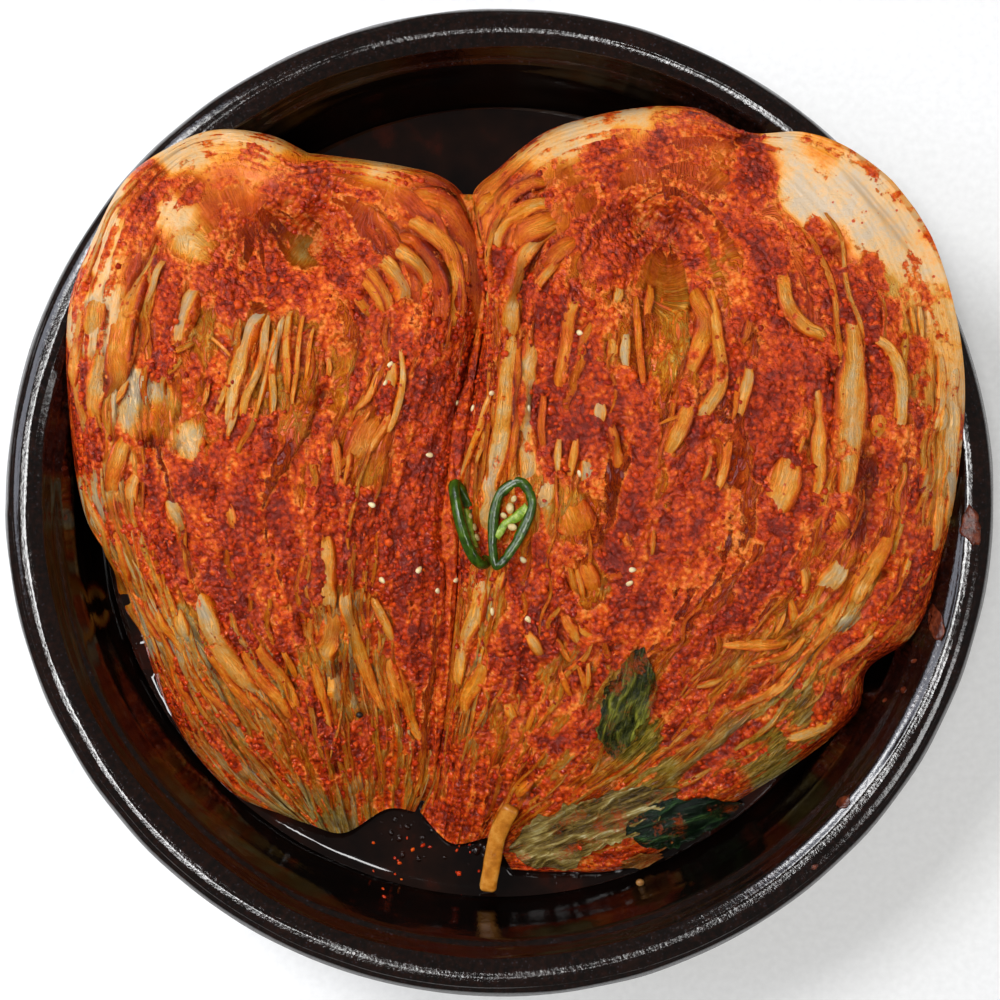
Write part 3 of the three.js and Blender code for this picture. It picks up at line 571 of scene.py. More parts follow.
# How each part of the surface is dressed, as plan x, plan y, reach, and then from 0 to 1: how
# much paste covers it, its leaf colour from white rib to soaked red, how green it is, how sleek
PATCHES = [
    (-100, 137, 15, 0.3, 0.08, 0.03, 0.85), (-65, 135, 10, 0.28, 0.02, 0.03, 0.85),
    (-38, 127, 12, 0.3, 0.1, 0.03, 0.8), (-115, 135, 10, 0.3, 0.04, 0.03, 0.85),
    (-103, 127, 8, 0.4, 0.54, 0, 0.6), (-67, 123, 10, 0.95, 0.8, 0, 0.1),
    (-134, 121, 5, 0.85, 0.75, 0, 0.2), (-138, 113, 5, 0.85, 0.75, 0, 0.2),
    (-119, 121, 4, 0.8, 0.7, 0, 0.2), (-126, 111, 7, 0.24, 0.08, 0, 0.9),
    (-117, 99, 6, 0.1, 0.19, 0, 0.7), (-146, 120, 8, 0.32, 0.05, 0.03, 0.85),
    (-150, 101, 8, 0.32, 0.05, 0.03, 0.85), (-136, 99, 8, 0.55, 0.68, 0, 0.3),
    (-155, 106, 5, 0.26, 0.04, 0.03, 0.8), (-102, 110, 10, 0.24, 0.66, 0, 0.8),
    (-77, 116, 11, 0.5, 0.82, 0, 0.6), (-59, 110, 9, 0.5, 0.72, 0, 0.6),
    (-96, 97, 8, 0.5, 0.84, 0, 0.4), (-77, 87, 18, 1, 0.95), (-59, 99, 12, 1, 0.95),
    (-74, 98, 5, 0.05, 0.34, 0.1, 0.2), (-42, 114, 8, 0.75, 0.78, 0, 0.2),
    (-29, 118, 8, 0.65, 0.72, 0, 0.3), (-23, 110, 7, 0.55, 0.64, 0, 0.4),
    (-122, 86, 7, 0.8, 0.88, 0, 0.3), (-102, 84, 8, 0.9, 0.9, 0, 0.1),
    (-134, 78, 6, 0.55, 0.7, 0, 0.2), (-130, 66, 5, 0.65, 0.72, 0, 0.2), (-130, 54, 5, 0.95, 0.85),
    (-121, 50, 5, 0.6, 0.7, 0, 0.1), (-163, 83, 4, 0.8, 0.8, 0, 0.1), (-162, 41, 6, 0.95, 0.85),
    (-159, 24, 7, 0.9, 0.85), (-156, 74, 6, 0.22, 0.05, 0.08, 0.8),
    (-146, 70, 8, 0.24, 0.08, 0, 0.6), (-149, 39, 7, 0.32, 0.14, 0, 0.5),
    (-137, 42, 7, 0.06, 0.04, 0.05, 0.2), (-132, 33, 5, 0.3, 0.5, 0, 0.1),
    (-128, 12, 8, 0.9, 0.85), (-119, 22, 5, 0.1, 0.1, 0, 0.7), (-107, 61, 8, 0.15, 0.46, 0.1, 0.1),
    (-111, 45, 8, 0.5, 0.55, 0.05), (-89, 58, 12, 0.15, 0.45, 0.05, 0.1),
    (-75, 66, 9, 0.25, 0.62, 0, 0.1), (-69, 53, 8, 0.4, 0.6, 0.05),
    (-90, 39, 7, 0.1, 0.38, 0.3, 0.1), (-59, 72, 8, 0.92, 0.85), (-59, 49, 7, 0.6, 0.65, 0.1),
    (-48, 62, 5, 0.85, 0.85), (-34, 66, 10, 1, 0.92), (-31, 83, 6, 0.75, 0.8, 0, 0.1),
    (-19, 66, 6, 0.7, 0.72, 0, 0.2), (-27, 39, 16, 1, 0.92), (-52, 24, 8, 0.3, 0.56, 0, 0.4),
    (-49, 12, 5, 0.2, 0.45, 0, 0.3), (-92, 26, 10, 0.9, 0.95), (-72, 28, 8, 0.8, 0.75, 0.05),
    (-82, 30, 5, 0.4, 0.35), (-80, 8, 10, 0.75, 0.7), (-90, -7, 13, 0.95, 0.95),
    (-65, -7, 12, 0.95, 0.92), (-105, 1, 6, 0.6, 0.6, 0.05), (-113, -11, 8, 0.9, 0.9),
    (-38, 1, 18, 1, 0.93), (-105, 24, 7, 0.6, 0.6, 0.05), (-146, 12, 5, 0.4, 0.18, 0, 0.3),
    (-141, -1, 6, 0.45, 0.5, 0, 0.1), (-130, -7, 7, 0.8, 0.8), (-157, 1, 5, 0.12, 0.12, 0.15, 0.6),
    (-146, -18, 7, 0.4, 0.4, 0, 0.1), (-130, -22, 8, 0.75, 0.75),
    (-148, -34, 5, 0.15, 0.32, 0.05, 0.3), (-134, -45, 8, 0.2, 0.2, 0, 0.2),
    (-117, -26, 7, 0.7, 0.68), (-121, -53, 7, 0.35, 0.22, 0, 0.2), (-100, -43, 8, 0.95, 0.88),
    (-94, -24, 10, 0.9, 0.88), (-82, -41, 8, 0.65, 0.66, 0.05), (-73, -34, 7, 0.75, 0.7),
    (-125, -68, 6, 0.7, 0.72), (-103, -72, 12, 0.3, 0.3, 0, 0.1),
    (-86, -74, 10, 0.2, 0.42, 0, 0.1), (-113, -89, 8, 0.6, 0.68), (-75, -82, 8, 0.85, 0.85),
    (-80, -97, 10, 0.7, 0.7), (-100, -97, 8, 0.5, 0.5), (-109, -101, 5, 0.2, 0.5, 0.25),
    (-92, -109, 8, 0.45, 0.45, 0.1), (-65, -99, 10, 0.75, 0.68), (-69, -119, 8, 0.15, 0.45, 0.5),
    (-82, -114, 6, 0.2, 0.45, 0.45), (-59, -45, 7, 0.2, 0.39, 0, 0.1),
    (-55, -61, 7, 0.2, 0.42, 0, 0.1), (-42, -72, 8, 0.12, 0.46, 0, 0.2),
    (-59, -76, 5, 0.1, 0.36, 0.3, 0.3), (-52, -93, 8, 0.9, 0.8), (-46, -49, 5, 0.45, 0.49),
    (-29, -34, 14, 1, 0.92), (-27, -65, 10, 0.95, 0.9), (-29, -91, 8, 0.75, 0.75),
    (-38, -103, 8, 0.45, 0.52), (-52, -111, 6, 0.45, 0.55, 0.2), (-27, -109, 6, 0.35, 0.52, 0.1),
    (12, 131, 10, 0.28, 0.1, 0.03, 0.85), (35, 141, 10, 0.3, 0.05, 0.02, 0.85),
    (52, 147, 8, 0.3, 0.05, 0.02, 0.85), (64, 149, 6, 0.35, 0.3, 0, 0.7),
    (75, 145, 8, 0.75, 0.66, 0, 0.3), (48, 137, 5, 0.6, 0.6, 0, 0.2), (60, 135, 7, 0.95, 0.85),
    (39, 129, 6, 0.85, 0.8), (73, 131, 5, 0.6, 0.7, 0, 0.2), (54, 126, 7, 0.22, 0.66, 0.05, 0.7),
    (77, 124, 7, 0.15, 0.66, 0, 0.5), (83, 129, 5, 0.2, 0.45, 0.08, 0.4),
    (8, 124, 6, 0.6, 0.68, 0, 0.2), (14, 118, 5, 0.75, 0.75, 0, 0.1),
    (-4, 114, 6, 0.25, 0.48, 0, 0.5), (23, 122, 6, 0.5, 0.6, 0, 0.2),
    (35, 114, 6, 0.4, 0.66, 0, 0.3), (46, 110, 8, 0.95, 0.95, 0, 0.1),
    (62, 104, 10, 1, 0.98, 0, 0.1), (77, 110, 8, 0.8, 0.85, 0, 0.3),
    (73, 103, 5, 0.7, 0.72, 0, 0.3), (58, 114, 7, 0.6, 0.84, 0, 0.4), (98, 126, 8, 1, 0.9),
    (92, 108, 7, 0.35, 0.72, 0, 0.3), (102, 103, 6, 0.6, 0.66, 0, 0.2),
    (16, 106, 7, 0.3, 0.56, 0, 0.4), (17, 95, 6, 0.55, 0.62, 0, 0.2), (0, 85, 6, 0.95, 0.85),
    (10, 78, 5, 0.85, 0.85, 0, 0.1), (19, 68, 6, 0.9, 0.85), (31, 93, 7, 0.55, 0.66, 0, 0.2),
    (42, 95, 6, 0.9, 0.92), (-7, 70, 8, 0.6, 0.68, 0, 0.2), (-15, 51, 10, 0.8, 0.8, 0, 0.1),
    (35, 66, 6, 0.8, 0.8), (43, 62, 5, 0.25, 0.55, 0, 0.2), (54, 66, 6, 0.35, 0.6, 0, 0.1),
    (62, 74, 8, 0.2, 0.55, 0.1, 0.1), (62, 89, 6, 0.1, 0.52, 0.05, 0.5),
    (64, 56, 7, 0.4, 0.58, 0.05), (80, 92, 5, 0.35, 0.5, 0, 0.2), (89, 83, 7, 0.5, 0.6, 0, 0.2),
    (104, 78, 10, 1, 0.92), (106, 58, 12, 1, 0.92), (121, 78, 8, 0.8, 0.85),
    (126, 99, 5, 0.5, 0.6, 0, 0.4), (120, 91, 5, 0.55, 0.66, 0, 0.2), (137, 81, 8, 0.95, 0.86),
    (146, 70, 8, 0.95, 0.86), (156, 58, 5, 0.85, 0.8, 0.05), (113, 124, 7, 0.02, -0.03, 0, 1),
    (135, 118, 12, 0.02, 0, 0, 1), (146, 104, 12, 0.02, 0, 0, 1),
    (156, 89, 8, 0.12, 0.04, 0.06, 1), (123, 136, 7, 0.3, 0.3, 0, 0.8),
    (110, 137, 6, 0.05, 0.06, 0, 0.9), (140, 131, 7, 0.1, 0.1, 0.03, 0.9),
    (156, 120, 6, 0.14, 0.2, 0.03, 0.9), (165, 101, 6, 0.12, 0.16, 0.02, 0.95),
    (148, 83, 5, 0.08, 0.4, 0.45, 0.5), (154, 70, 5, 0.1, 0.4, 0.35, 0.4),
    (165, 74, 7, 0.14, 0.2, 0.2, 0.85), (173, 51, 8, 0.12, 0.2, 0.15, 0.85),
    (163, 47, 6, 0.3, 0.42, 0.3, 0.3), (167, 28, 6, 0.3, 0.42, 0.2, 0.2),
    (173, 12, 7, 0.14, 0.22, 0.2, 0.7), (168, -7, 7, 0.15, 0.3, 0.3, 0.4),
    (156, 28, 5, 0.55, 0.6, 0.1, 0.1), (156, 10, 9, 0.95, 0.85), (146, 35, 5, 0.7, 0.7, 0.15, 0.1),
    (142, 8, 5, 0.8, 0.92, 0, 0.3), (142, -11, 5, 0.6, 0.9, 0, 0.4), (160, -7, 7, 0.7, 0.72, 0.05),
    (165, -28, 7, 0.8, 0.74, 0.05), (150, -22, 6, 0.5, 0.6, 0.05), (77, 62, 4, 0.4, 0.6, 0, 0.1),
    (90, 55, 8, 0.7, 0.75), (54, 31, 12, 0.9, 0.88), (31, 39, 7, 0.85, 0.85),
    (39, 16, 8, 0.8, 0.8), (23, 20, 5, 0.7, 0.7), (46, 12, 5, 0.7, 0.95), (77, 20, 9, 0.85, 0.8),
    (100, 39, 10, 1, 0.92), (96, 8, 12, 0.95, 0.88), (121, 28, 6, 0.5, 0.6),
    (123, 8, 5, 0.45, 0.58), (115, -7, 8, 0.9, 0.84), (127, -22, 6, 0.5, 0.68, 0, 0.2),
    (77, -11, 12, 1, 0.9), (58, 1, 12, 0.95, 0.9), (39, -15, 8, 0.9, 0.85), (62, -34, 13, 1, 0.92),
    (92, -34, 14, 1, 0.88), (29, -7, 6, 0.15, 0.58, 0.05, 0.2), (35, -30, 5, 0.3, 0.56, 0, 0.1),
    (16, -26, 7, 0.9, 0.85), (0, 20, 5, 0.3, 0.5, 0, 0.3), (-9, 8, 5, 0.5, 0.5, 0, 0.2),
    (12, 1, 6, 0.4, 0.4, 0, 0.3), (-11, -15, 9, 0.85, 0.8), (8, -53, 8, 0.8, 0.84),
    (23, -49, 7, 0.5, 0.6), (27, -68, 8, 0.35, 0.58), (50, -49, 8, 0.95, 0.9),
    (-9, -45, 6, 0.35, 0.42, 0, 0.1), (-13, -68, 6, 0.25, 0.44, 0, 0.1), (4, -68, 6, 0.9, 0.86),
    (6, -86, 7, 0.3, 0.56, 0, 0.1), (23, -91, 9, 0.55, 0.62), (-7, -91, 7, 0.55, 0.58),
    (-7, -107, 10, 0.95, 0.88), (-21, -122, 7, 0.95, 0.88), (12, -111, 6, 0.6, 0.66),
    (29, -109, 7, 0.65, 0.7), (46, -76, 7, 0.3, 0.6, 0.6), (54, -91, 6, 0.2, 0.5, 0.75),
    (58, -103, 6, 0.15, 0.5, 0.6, 0.1), (42, -107, 5, 0.3, 0.55, 0.35),
    (69, -68, 8, 0.6, 0.7, 0.05), (73, -88, 7, 0.85, 0.82, 0.05), (92, -61, 7, 0.45, 0.6),
    (98, -68, 5, 0.7, 0.72), (112, -47, 6, 0.35, 0.58), (92, -76, 8, 0.55, 0.65, 0.1),
    (108, -57, 5, 0.4, 0.55), (127, -49, 6, 0.25, 0.5, 0.1), (137, -59, 6, 0.9, 0.8),
    (140, -41, 5, 0.45, 0.56), (154, -40, 7, 0.65, 0.66, 0.05), (161, -47, 5, 0.4, 0.5, 0.15),
    (127, -72, 7, 0.25, 0.48, 0.45), (112, -76, 6, 0.25, 0.55, 0.6),
    (135, -78, 5, 0.45, 0.58, 0.2), (96, -89, 8, 0.3, 0.5, 0.65), (77, -95, 6, 0.3, 0.52, 0.6),
    (104, -103, 7, 0.08, 0.42, 0.6, 0.1), (121, -89, 5, 0.25, 0.46, 0.5),
    (89, -111, 5, 0.9, 0.82, 0.05), (77, -113, 5, 0.85, 0.8, 0.1),
]


def patch_fields(plan):
    """Paste, tone, green and sleek at plan places, blended from the patches round them."""
    total = np.full(plan.shape[0], 1e-5)
    fields = np.outer(total, (0.6, 0.6, 0.0, 0.1))
    for x, y, reach, *values in PATCHES:
        apart = ((plan[:, 0] - x) ** 2 + (plan[:, 1] - y) ** 2) / reach**2
        weight = np.exp(-1.1 * apart) / reach**1.5
        total += weight
        fields += np.outer(weight, (values + [0, 0])[:4])
    return (fields / total[:, None]).T


# Hollows and gaps between leaves: plan x, plan y, length, width, heading, depth, and the strength of
# the shade painted in them
HOLLOWS = [
    (-77, 103, 46, 22, 170, 7.5, 0.4), (-66, 98, 20, 12, 150, 3.5, 0.4),
    (-91, 54, 20, 4.5, 80, 2.5, 0.7), (-84, 63, 22, 3.4, 86, 2.5, 0.7),
    (-98, 62, 18, 3, 66, 3, 0.5), (-68, 40, 9, 6, 60, 5, 0.9), (-133, 23, 9, 4, 75, 4, 0.9),
    (-124, 20, 10, 3, 50, 2, 0.5), (-137, 88, 30, 3, 60, 2, 0.4), (-121, 74, 24, 3, 78, 2.4, 0.5),
    (-79, -68, 20, 7, 108, 4, 0.8), (-74, -48, 14, 5, 120, 3, 0.7), (-33, -84, 16, 6, 100, 4, 0.7),
    (-19, -102, 14, 4, 90, 4, 0.6), (-30, 96, 24, 3, 125, 3, 0.6), (-36, 84, 22, 2.6, 118, 3, 0.5),
    (-44, 84, 20, 2.6, 118, 2.5, 0.4), (-17, 76, 40, 3, 92, 3.5, 0.5),
    (-62, -102, 12, 6, 20, 3, 0.6), (-108, 4, 10, 5, 60, 3, 0.6), (60, 106, 34, 20, 160, 7, 0.42),
    (47, 108, 22, 10, 70, 3, 0.4), (63, 99, 24, 6, 155, 2, 0.5), (3, 108, 12, 4, 30, 4, 0.9),
    (11, 90, 30, 3.4, 65, 5, 0.9), (7, 71, 24, 3.4, 80, 5, 0.8), (19, 87, 16, 3, 65, 4, 0.8),
    (9, 56, 26, 2.4, 88, 5, 0.9), (11, 40, 40, 2.4, 86, 3.5, 0.6), (95, 140, 12, 4.5, 20, 5, 0.95),
    (80, 70, 26, 2.6, 84, 4, 0.7), (46, 24, 22, 7, 82, 4.5, 0.8), (43, 0, 14, 8, 70, 4, 0.7),
    (128, 44, 26, 3, 100, 4, 0.8), (141, 2, 48, 11, 86, 7, 0.75), (141, 56, 20, 3, 105, 4, 0.8),
    (145, -28, 12, 6, 20, 4, 0.8), (152, -36, 9, 4, 20, 3, 0.8), (132, -36, 12, 4, 50, 3, 0.7),
    (147, 110, 46, 3, 130, 1.6, 0.12), (128, 98, 14, 8, 135, 3, 0.5), (120, 25, 40, 3, 82, 3, 0.6),
    (40, -18, 12, 5, 110, 3, 0.6), (42, -56, 16, 5, 20, 2.5, 0.9), (35, -74, 22, 4, 80, 2.5, 0.8),
    (24, -55, 24, 4, 100, 3, 0.6), (8, -72, 14, 5, 100, 3, 0.6), (95, -72, 22, 4, 30, 3, 0.6),
    (116, -60, 30, 4, 45, 3, 0.5), (12, -112, 10, 6, 60, 3.5, 0.8), (74, -103, 16, 5, 20, 3, 0.6),
]


def hollow_fields(plan):
    """How deep the hollows are at plan places, and how much shade is painted in them."""
    depth, dark = np.zeros(len(plan)), np.zeros(len(plan))
    for x, y, length, width, heading, deep, painted_shade_strength in HOLLOWS:
        wobble = 0.25 * drift(plan[:, 0] / 5, plan[:, 1] / 5, 3)
        run, side = spun(plan[:, 0] - x, plan[:, 1] - y, -math.radians(heading))
        inside = np.exp(-1.4 * ((run / (length / 2)) ** 4 + (side / (width / 2) + wobble) ** 2))
        depth = np.maximum(depth, deep * inside)
        # Painted shade, strongest in the middle of each hollow
        dark = np.maximum(dark, painted_shade_strength * inside**2)
    return depth, dark


def swell(half, across, along):
    wave = np.sin(7.3 * across + half["seed"]) * np.cos(11 * along + 2.1 * across)
    return 1.8 * wave + 0.9 * np.sin(17 * along - 5 * across + half["seed"])


def surface_height(half, across, along):
    left, right = along_keys(half["left_edge"], along), along_keys(half["right_edge"], along)
    edge = left + (right - left) * (across + 1) / 2
    crown = np.sqrt(1 - np.abs(across) ** 5) * np.sqrt(1 - along**10)
    fade = np.minimum(1, along / 0.08) * crown
    top = along_keys(half["ridge"], along) + fade * (swell(half, across, along) + MEAN_LIFT)
    return edge + (top - edge) * crown


def plan_place(half, across, along):
    """The plan place on the half's leaf runs, from the share across and the share along."""
    across, along = np.broadcast_arrays(across, along)
    guides = np.stack([evenly_along(run)[0](along) for run in half["runs"]])
    at = (np.clip(across, -1, 1) + 1) * 2
    first = np.minimum(np.floor(at).astype(int), 3)
    near = (np.take_along_axis(guides, np.clip(first + k, 0, 4)[None, ..., None], 0)[0]
            for k in (-1, 0, 1, 2))
    return cubic(*near, (at - first)[..., None])


def leaf_edges(across_mm, along_mm, pitch, seed):
    """Overlapping leaf edges about a pitch apart: their height from 0 to 1, the number of each
    leaf, how near its edge is, and how deep in the gap beside the next leaf's edge."""
    sway = 0.9 * drift(across_mm / 34, along_mm / 75, seed)
    sway += 0.3 * drift(across_mm / 12, along_mm / 26, seed + 1)
    count = across_mm / pitch + sway
    count = count + 0.13 * drift(np.floor(count) * 3.7, along_mm / 6, seed + 2)
    number = np.floor(count)
    share = count - number

    def strength(of):
        return np.clip(0.62 + 0.75 * drift(of * 5.3, along_mm / 55, seed + 3), 0.05, 1.25)

    height = strength(number) * np.minimum(share**1.3, (1 - share) / 0.14)
    gap = np.maximum(strength(number - 1) * ease(0.2, 0.02, share),
                     strength(number) * ease(0.9, 0.99, share))
    return height, number, ease(0.55, 0.9, share) * strength(number), gap


def leaf_relief(half, across, along, plan, fields, depth):
    """Leaf edges and wrinkles with paste in their hollows: height in millimetres, the share of
    paste, how light each leaf is, and how much shade is painted in the gaps and creases."""
    cover, _, green, sleek = fields
    seed = half["seed"]
    a, t = across * HALF_WIDTH, along * RUN_LENGTH
    broad, number, edge, gap = leaf_edges(a, t, BROAD_LEAF, seed)
    narrow, inner, inner_edge, inner_gap = leaf_edges(a, t, NARROW_LEAF, seed + 20)
    crumple = crease((a + 4 * drift(a / 14, t / 30, seed + 1)) / 6.5, t / 13, seed + 5)
    fine = crease(a / 1.9, t / 14, seed + 4)
    leafy = np.clip(ease(0.5, 0.85, along) + green, 0, 1)
    x, y = plan.T
    leaves = 3.3 * broad + 1.5 * narrow + 0.5 * (fine - 0.5)
    leaves += leafy * (2.4 * (crumple - 0.4) - 0.5 * broad)
    level = 1.55 + 3.4 * (cover - 0.55) + 1.5 * drifts(x / 13, y / 13, seed + 8, 2)
    level += 1.2 * drifts(a / 5, t / 26, seed + 6, 2) + 0.5 * drift(x / 2.6, y / 2.6, seed + 12)
    paste = np.clip(0.45 + (level - leaves) / 3.6, 0, 1)
    granular = drifts(x / 5.5, y / 5.5, seed + 9, 2)
    granular += 0.9 * drifts(x / 2.3, y / 2.3, seed + 10, 2)
    filled = np.minimum(level, leaves + 2.0)
    rough = np.maximum(leaves, filled) + ease(0.4, 0.6, paste) * granular - 1.9
    calm = 0.8 * drift(a / 14, t / 60, seed + 11) + 0.3 * (fine - 0.5)
    fade = ease(0.01, 0.1, along) * (1 - 0.55 * np.abs(across) ** 10)
    light = 0.6 * drift(number * 7.7, t / 90, seed + 13) + 0.4 * drift(inner * 3.1, t / 60, seed + 14)
    light = (light + 0.35 * edge + 0.15 * inner_edge) * ease(0.02, 0.13, along)
    relief = fade * ((1 - sleek) * rough + sleek * calm) - depth
    # Painted shade in the gaps beside the leaf edges and in the creases of the crumpled leaf, less
    # where paste fills them
    dark = 0.62 * gap + 0.3 * inner_gap + 0.5 * leafy * ease(0.22, 0.0, crumple)
    dark *= (1 - sleek) * ease(0.75, 0.35, paste) * fade
    return relief, paste * (1 - 0.3 * sleek), light, dark


def flow_of(along, across, plan, z):
    """Which way the fibres run: the place along and across the leaves, by the core in plan."""
    leaf = ease(0.03, 0.16, along)[:, None]
    lengthwise = np.stack([along * RUN_LENGTH, across * HALF_WIDTH], -1)
    return np.column_stack([lengthwise * leaf + plan[:, ::-1] * (1 - leaf), z])


def half_surface(half):
    """The fine skin of a half, as a grid: its points, marks and leaf coordinates."""
    across, along = np.meshgrid(np.linspace(-1, 1, COLUMNS + 1),
                                np.linspace(0, 1, ROWS + 1) ** 1.02, indexing="ij")
    across, along = across.ravel(), along.ravel()
    plan = plan_place(half, across, along)
    cover, tone, green, sleek = fields = patch_fields(plan)
    depth, dark = hollow_fields(plan)
    relief, paste, light, gaps = leaf_relief(half, across, along, plan, fields, depth)
    z = surface_height(half, across, along) + relief
    points = settle(plan, z)
    room = along_keys(ROOM_INSIDE, z) - WALL_CLEARANCE
    points[:, :2] *= np.minimum(1, room / np.maximum(1, np.hypot(*points[:, :2].T)))[:, None]
    points[:, 0] += half["shift"]
    stain = 0.12 * cover - (0.26 * light + 0.08 * ease(0.5, 0.75, along)) * (1 - sleek)
    # Smooth on its ribs and outside, crumpled at its tip and heart
    rib = ease(0.75, 0.3, along) * (1 - green) * np.maximum(ease(0.12, 0.5, np.abs(across)), sleek)
    # The deep mark carries the painted shade of the hollows, the gaps between leaf edges and the
    # creases
    marks = dict(tone=tone + stain, paste=paste, green=green,
                 sleek=np.clip(0.62 * rib + 0.5 * sleek, 0, 1),
                 deep=np.maximum(dark, np.clip(gaps, 0, 0.9)),
                 flow=flow_of(along, across, plan, z))
    return dict(points=points, marks=marks, across=across, along=along)


SKIRT = [(173, 78), (153, 31), (122, 11.65)]  # how wide the underside may be at each height
SKIRT_STEPS = 9


def close_below(half, skin):
    """Adds the half's sides and underside below its outline: all points, faces and marks."""
    points, marks = skin["points"], skin["marks"]
    index = np.arange(len(points)).reshape(COLUMNS + 1, ROWS + 1)
    index[:, 0] = np.minimum(index[:, 0], index[::-1, 0])
    groups = [joined(index[:-1, :-1], index[:-1, 1:], index[1:, 1:], index[1:, :-1]).reshape(-1, 4)]
    outline = np.r_[index[0, :-1], index[:-1, -1], index[-1, :0:-1]]
    rim = points[outline]
    levels = [rim]
    for step, (radius, height) in enumerate(SKIRT):
        pull = np.minimum(1, radius / np.hypot(rim[:, 0], rim[:, 1]))
        z = np.minimum(height, rim[:, 2] - 2.5 * (step + 1))
        levels.append(np.column_stack([rim[:, :2] * pull[:, None], z]))
    around = np.cumsum(np.r_[0, np.linalg.norm(np.diff(rim, axis=0), axis=1)])
    rings = []
    for share in np.linspace(0, 3, SKIRT_STEPS + 1)[1:]:
        first = min(int(share), 2)
        part = share - first
        ring = levels[first] * (1 - part) + levels[first + 1] * part
        out = ring[:, :2] / np.hypot(ring[:, 0], ring[:, 1])[:, None]
        ribs = 0.7 * (crease(around / 9, share * 0.4, half["seed"]) - 0.9) * math.sin(share)
        ring[:, :2] += out * ribs[:, None] * (share < 2.9)
        rings.append(ring)
    upper, width = outline, len(outline)
    for level in range(SKIRT_STEPS):
        lower = len(points) + level * width + np.arange(width)
        groups.append(np.stack([np.roll(upper, -1), upper, lower, np.roll(lower, -1)][::-1], -1))
        upper = lower
    points = np.vstack([points] + rings + [rings[-1].mean(0)])
    middle = np.full(width, len(points) - 1)
    groups.append(np.stack([upper, np.roll(upper, -1), middle][::-1], -1))
    grown = {key: np.concatenate([values] + [values[outline]] * SKIRT_STEPS + [values[outline[:1]]])
             for key, values in marks.items()}
    below = SKIRT_STEPS * width + 1
    grown["flow"][-below:, 0] = points[-below:, 2] * 1.2
    grown["flow"][-below:-1, 1] = np.tile(around, SKIRT_STEPS)
    grown["paste"][-below:] *= 0.5
    return points, groups, grown


skins = {side: half_surface(half) for side, half in HALVES.items()}
bodies = {side: close_below(half, skins[side]) for side, half in HALVES.items()}
heap_tree = tree_of(*(bodies[side][:2] for side in HALVES))

# ---------------------------------------------------------------- strips of leaf

STRIP_SPREAD = 1.3  # how much wider a strip is than what shows between the paste
GAP_BESIDE, GAP_REACH, GAP_DEEP, BED_DEEP = 0.35, 1.25, 1.1, 1.2
STRANDS_A_HALF = 170

# Right and up, as shares of half the width and half the thickness: a flat, slightly dished top
SECTION = [(1, -0.9), (1, 0.45), (0.93, 0.86), (0.7, 1), (0, 0.88), (-0.7, 1), (-0.93, 0.86),
           (-1, 0.45), (-1, -0.9), (0, -1)]


def width_along(width, share):
    """A width that is the same all along, or given at the start, the middle and the end."""
    if isinstance(width, tuple):
        return along_keys(list(zip((0, 0.5, 1), width)), share)
    return width * (1 - 0.35 * np.abs(2 * share - 1) ** 3)


def lay_strip(batch, points, width, thickness, tones, stain, lift, seed, green=0.0, step=1.3,
              sleek=0.75, rise=0.4):
    """A flat ribbon of leaf laid on the heap along plan points, with its ends under the paste."""
    place, length = evenly_along(points)
    count = max(8, int(length / step))
    share = np.linspace(0, 1, count)
    walked = share * length
    from_end = np.minimum(share, 1 - share) * length
    plan = place(share) + 0.9 * drift(walked / 9, seed, 5)[:, None] * np.array((1.0, 0.3))
    seats, ups = zip(*[seen(x, y, heap_tree) for x, y in plan])
    seats, ups = smoothed(np.array(seats), 4), smoothed(np.array(ups), 5)
    ends = np.minimum(1, from_end / (2.2 * thickness))
    proud = (rise + 0.26 * lift) * ends**0.7 - 0.9 * (1 - ends) * thickness
    proud = proud + 0.25 * drift(walked / 9, seed, 6)
    middle = seats + ups * (proud - 0.5 * thickness)[:, None]
    ahead = unit(np.gradient(middle, axis=0))
    side = unit(np.cross(ahead, ups))
    up = np.cross(side, ahead)
    roll = (0.16 * (-1) ** seed + 0.22 * drift(walked / 22, seed, 7))[:, None]
    side, up = side * np.cos(roll) + up * np.sin(roll), up * np.cos(roll) - side * np.sin(roll)
    half_wide = STRIP_SPREAD * width_along(width, share) / 2
    half_wide *= 1 + 0.1 * drift(walked / 13, seed, 8)
    half_wide *= 0.15 + 0.85 * np.minimum(1, from_end / 9) ** 0.6
    half_tall = thickness / 2 * (0.5 + 0.5 * ends)
    rings = []
    for k, (right, top) in enumerate(SECTION):
        rough = 1 + 0.05 * drift(walked / 4, seed * 3 + k, 9)
        rings.append(middle + side * (right * half_wide * rough)[:, None]
                     + up * (top * half_tall * rough)[:, None])
    rings = np.stack(rings, 1)
    batch.beds.append(np.column_stack([middle, half_wide]))
    beside = side[2:-2] * GAP_BESIDE
    batch.gaps += [rings[2:-2, 1] + beside, rings[2:-2, 7] - beside]
    across, along = np.array([right for right, _ in SECTION], float), walked[:, None]
    tone = tones[0] + (tones[1] - tones[0]) * share[:, None] + 1.25 * stain * np.abs(across) ** 4
    tone = np.maximum(tone - 0.14, 0.12) + 0.13 * drifts(along / 10, seed + 0.7 * across, 11, 2)
    flow = joined(along + 31.0 * seed, across * half_wide[:, None] * 1.4 + 7.0 * seed, 0)
    smear = 0.08 + 0.3 * np.abs(across) ** 6
    smear = smear + 0.62 * ease(5.5, 0.5, np.minimum(along, length - along))
    smear = smear + 0.5 * drifts(along / 8, seed + across * 0.8, 10, 2)
    batch.add(rings, tube_faces(*rings.shape[:2]), tone=tone.ravel(), green=green, deep=0.0,
              paste=np.clip(smear, 0, 1).ravel(), sleek=sleek, flow=flow.reshape(-1, 3))


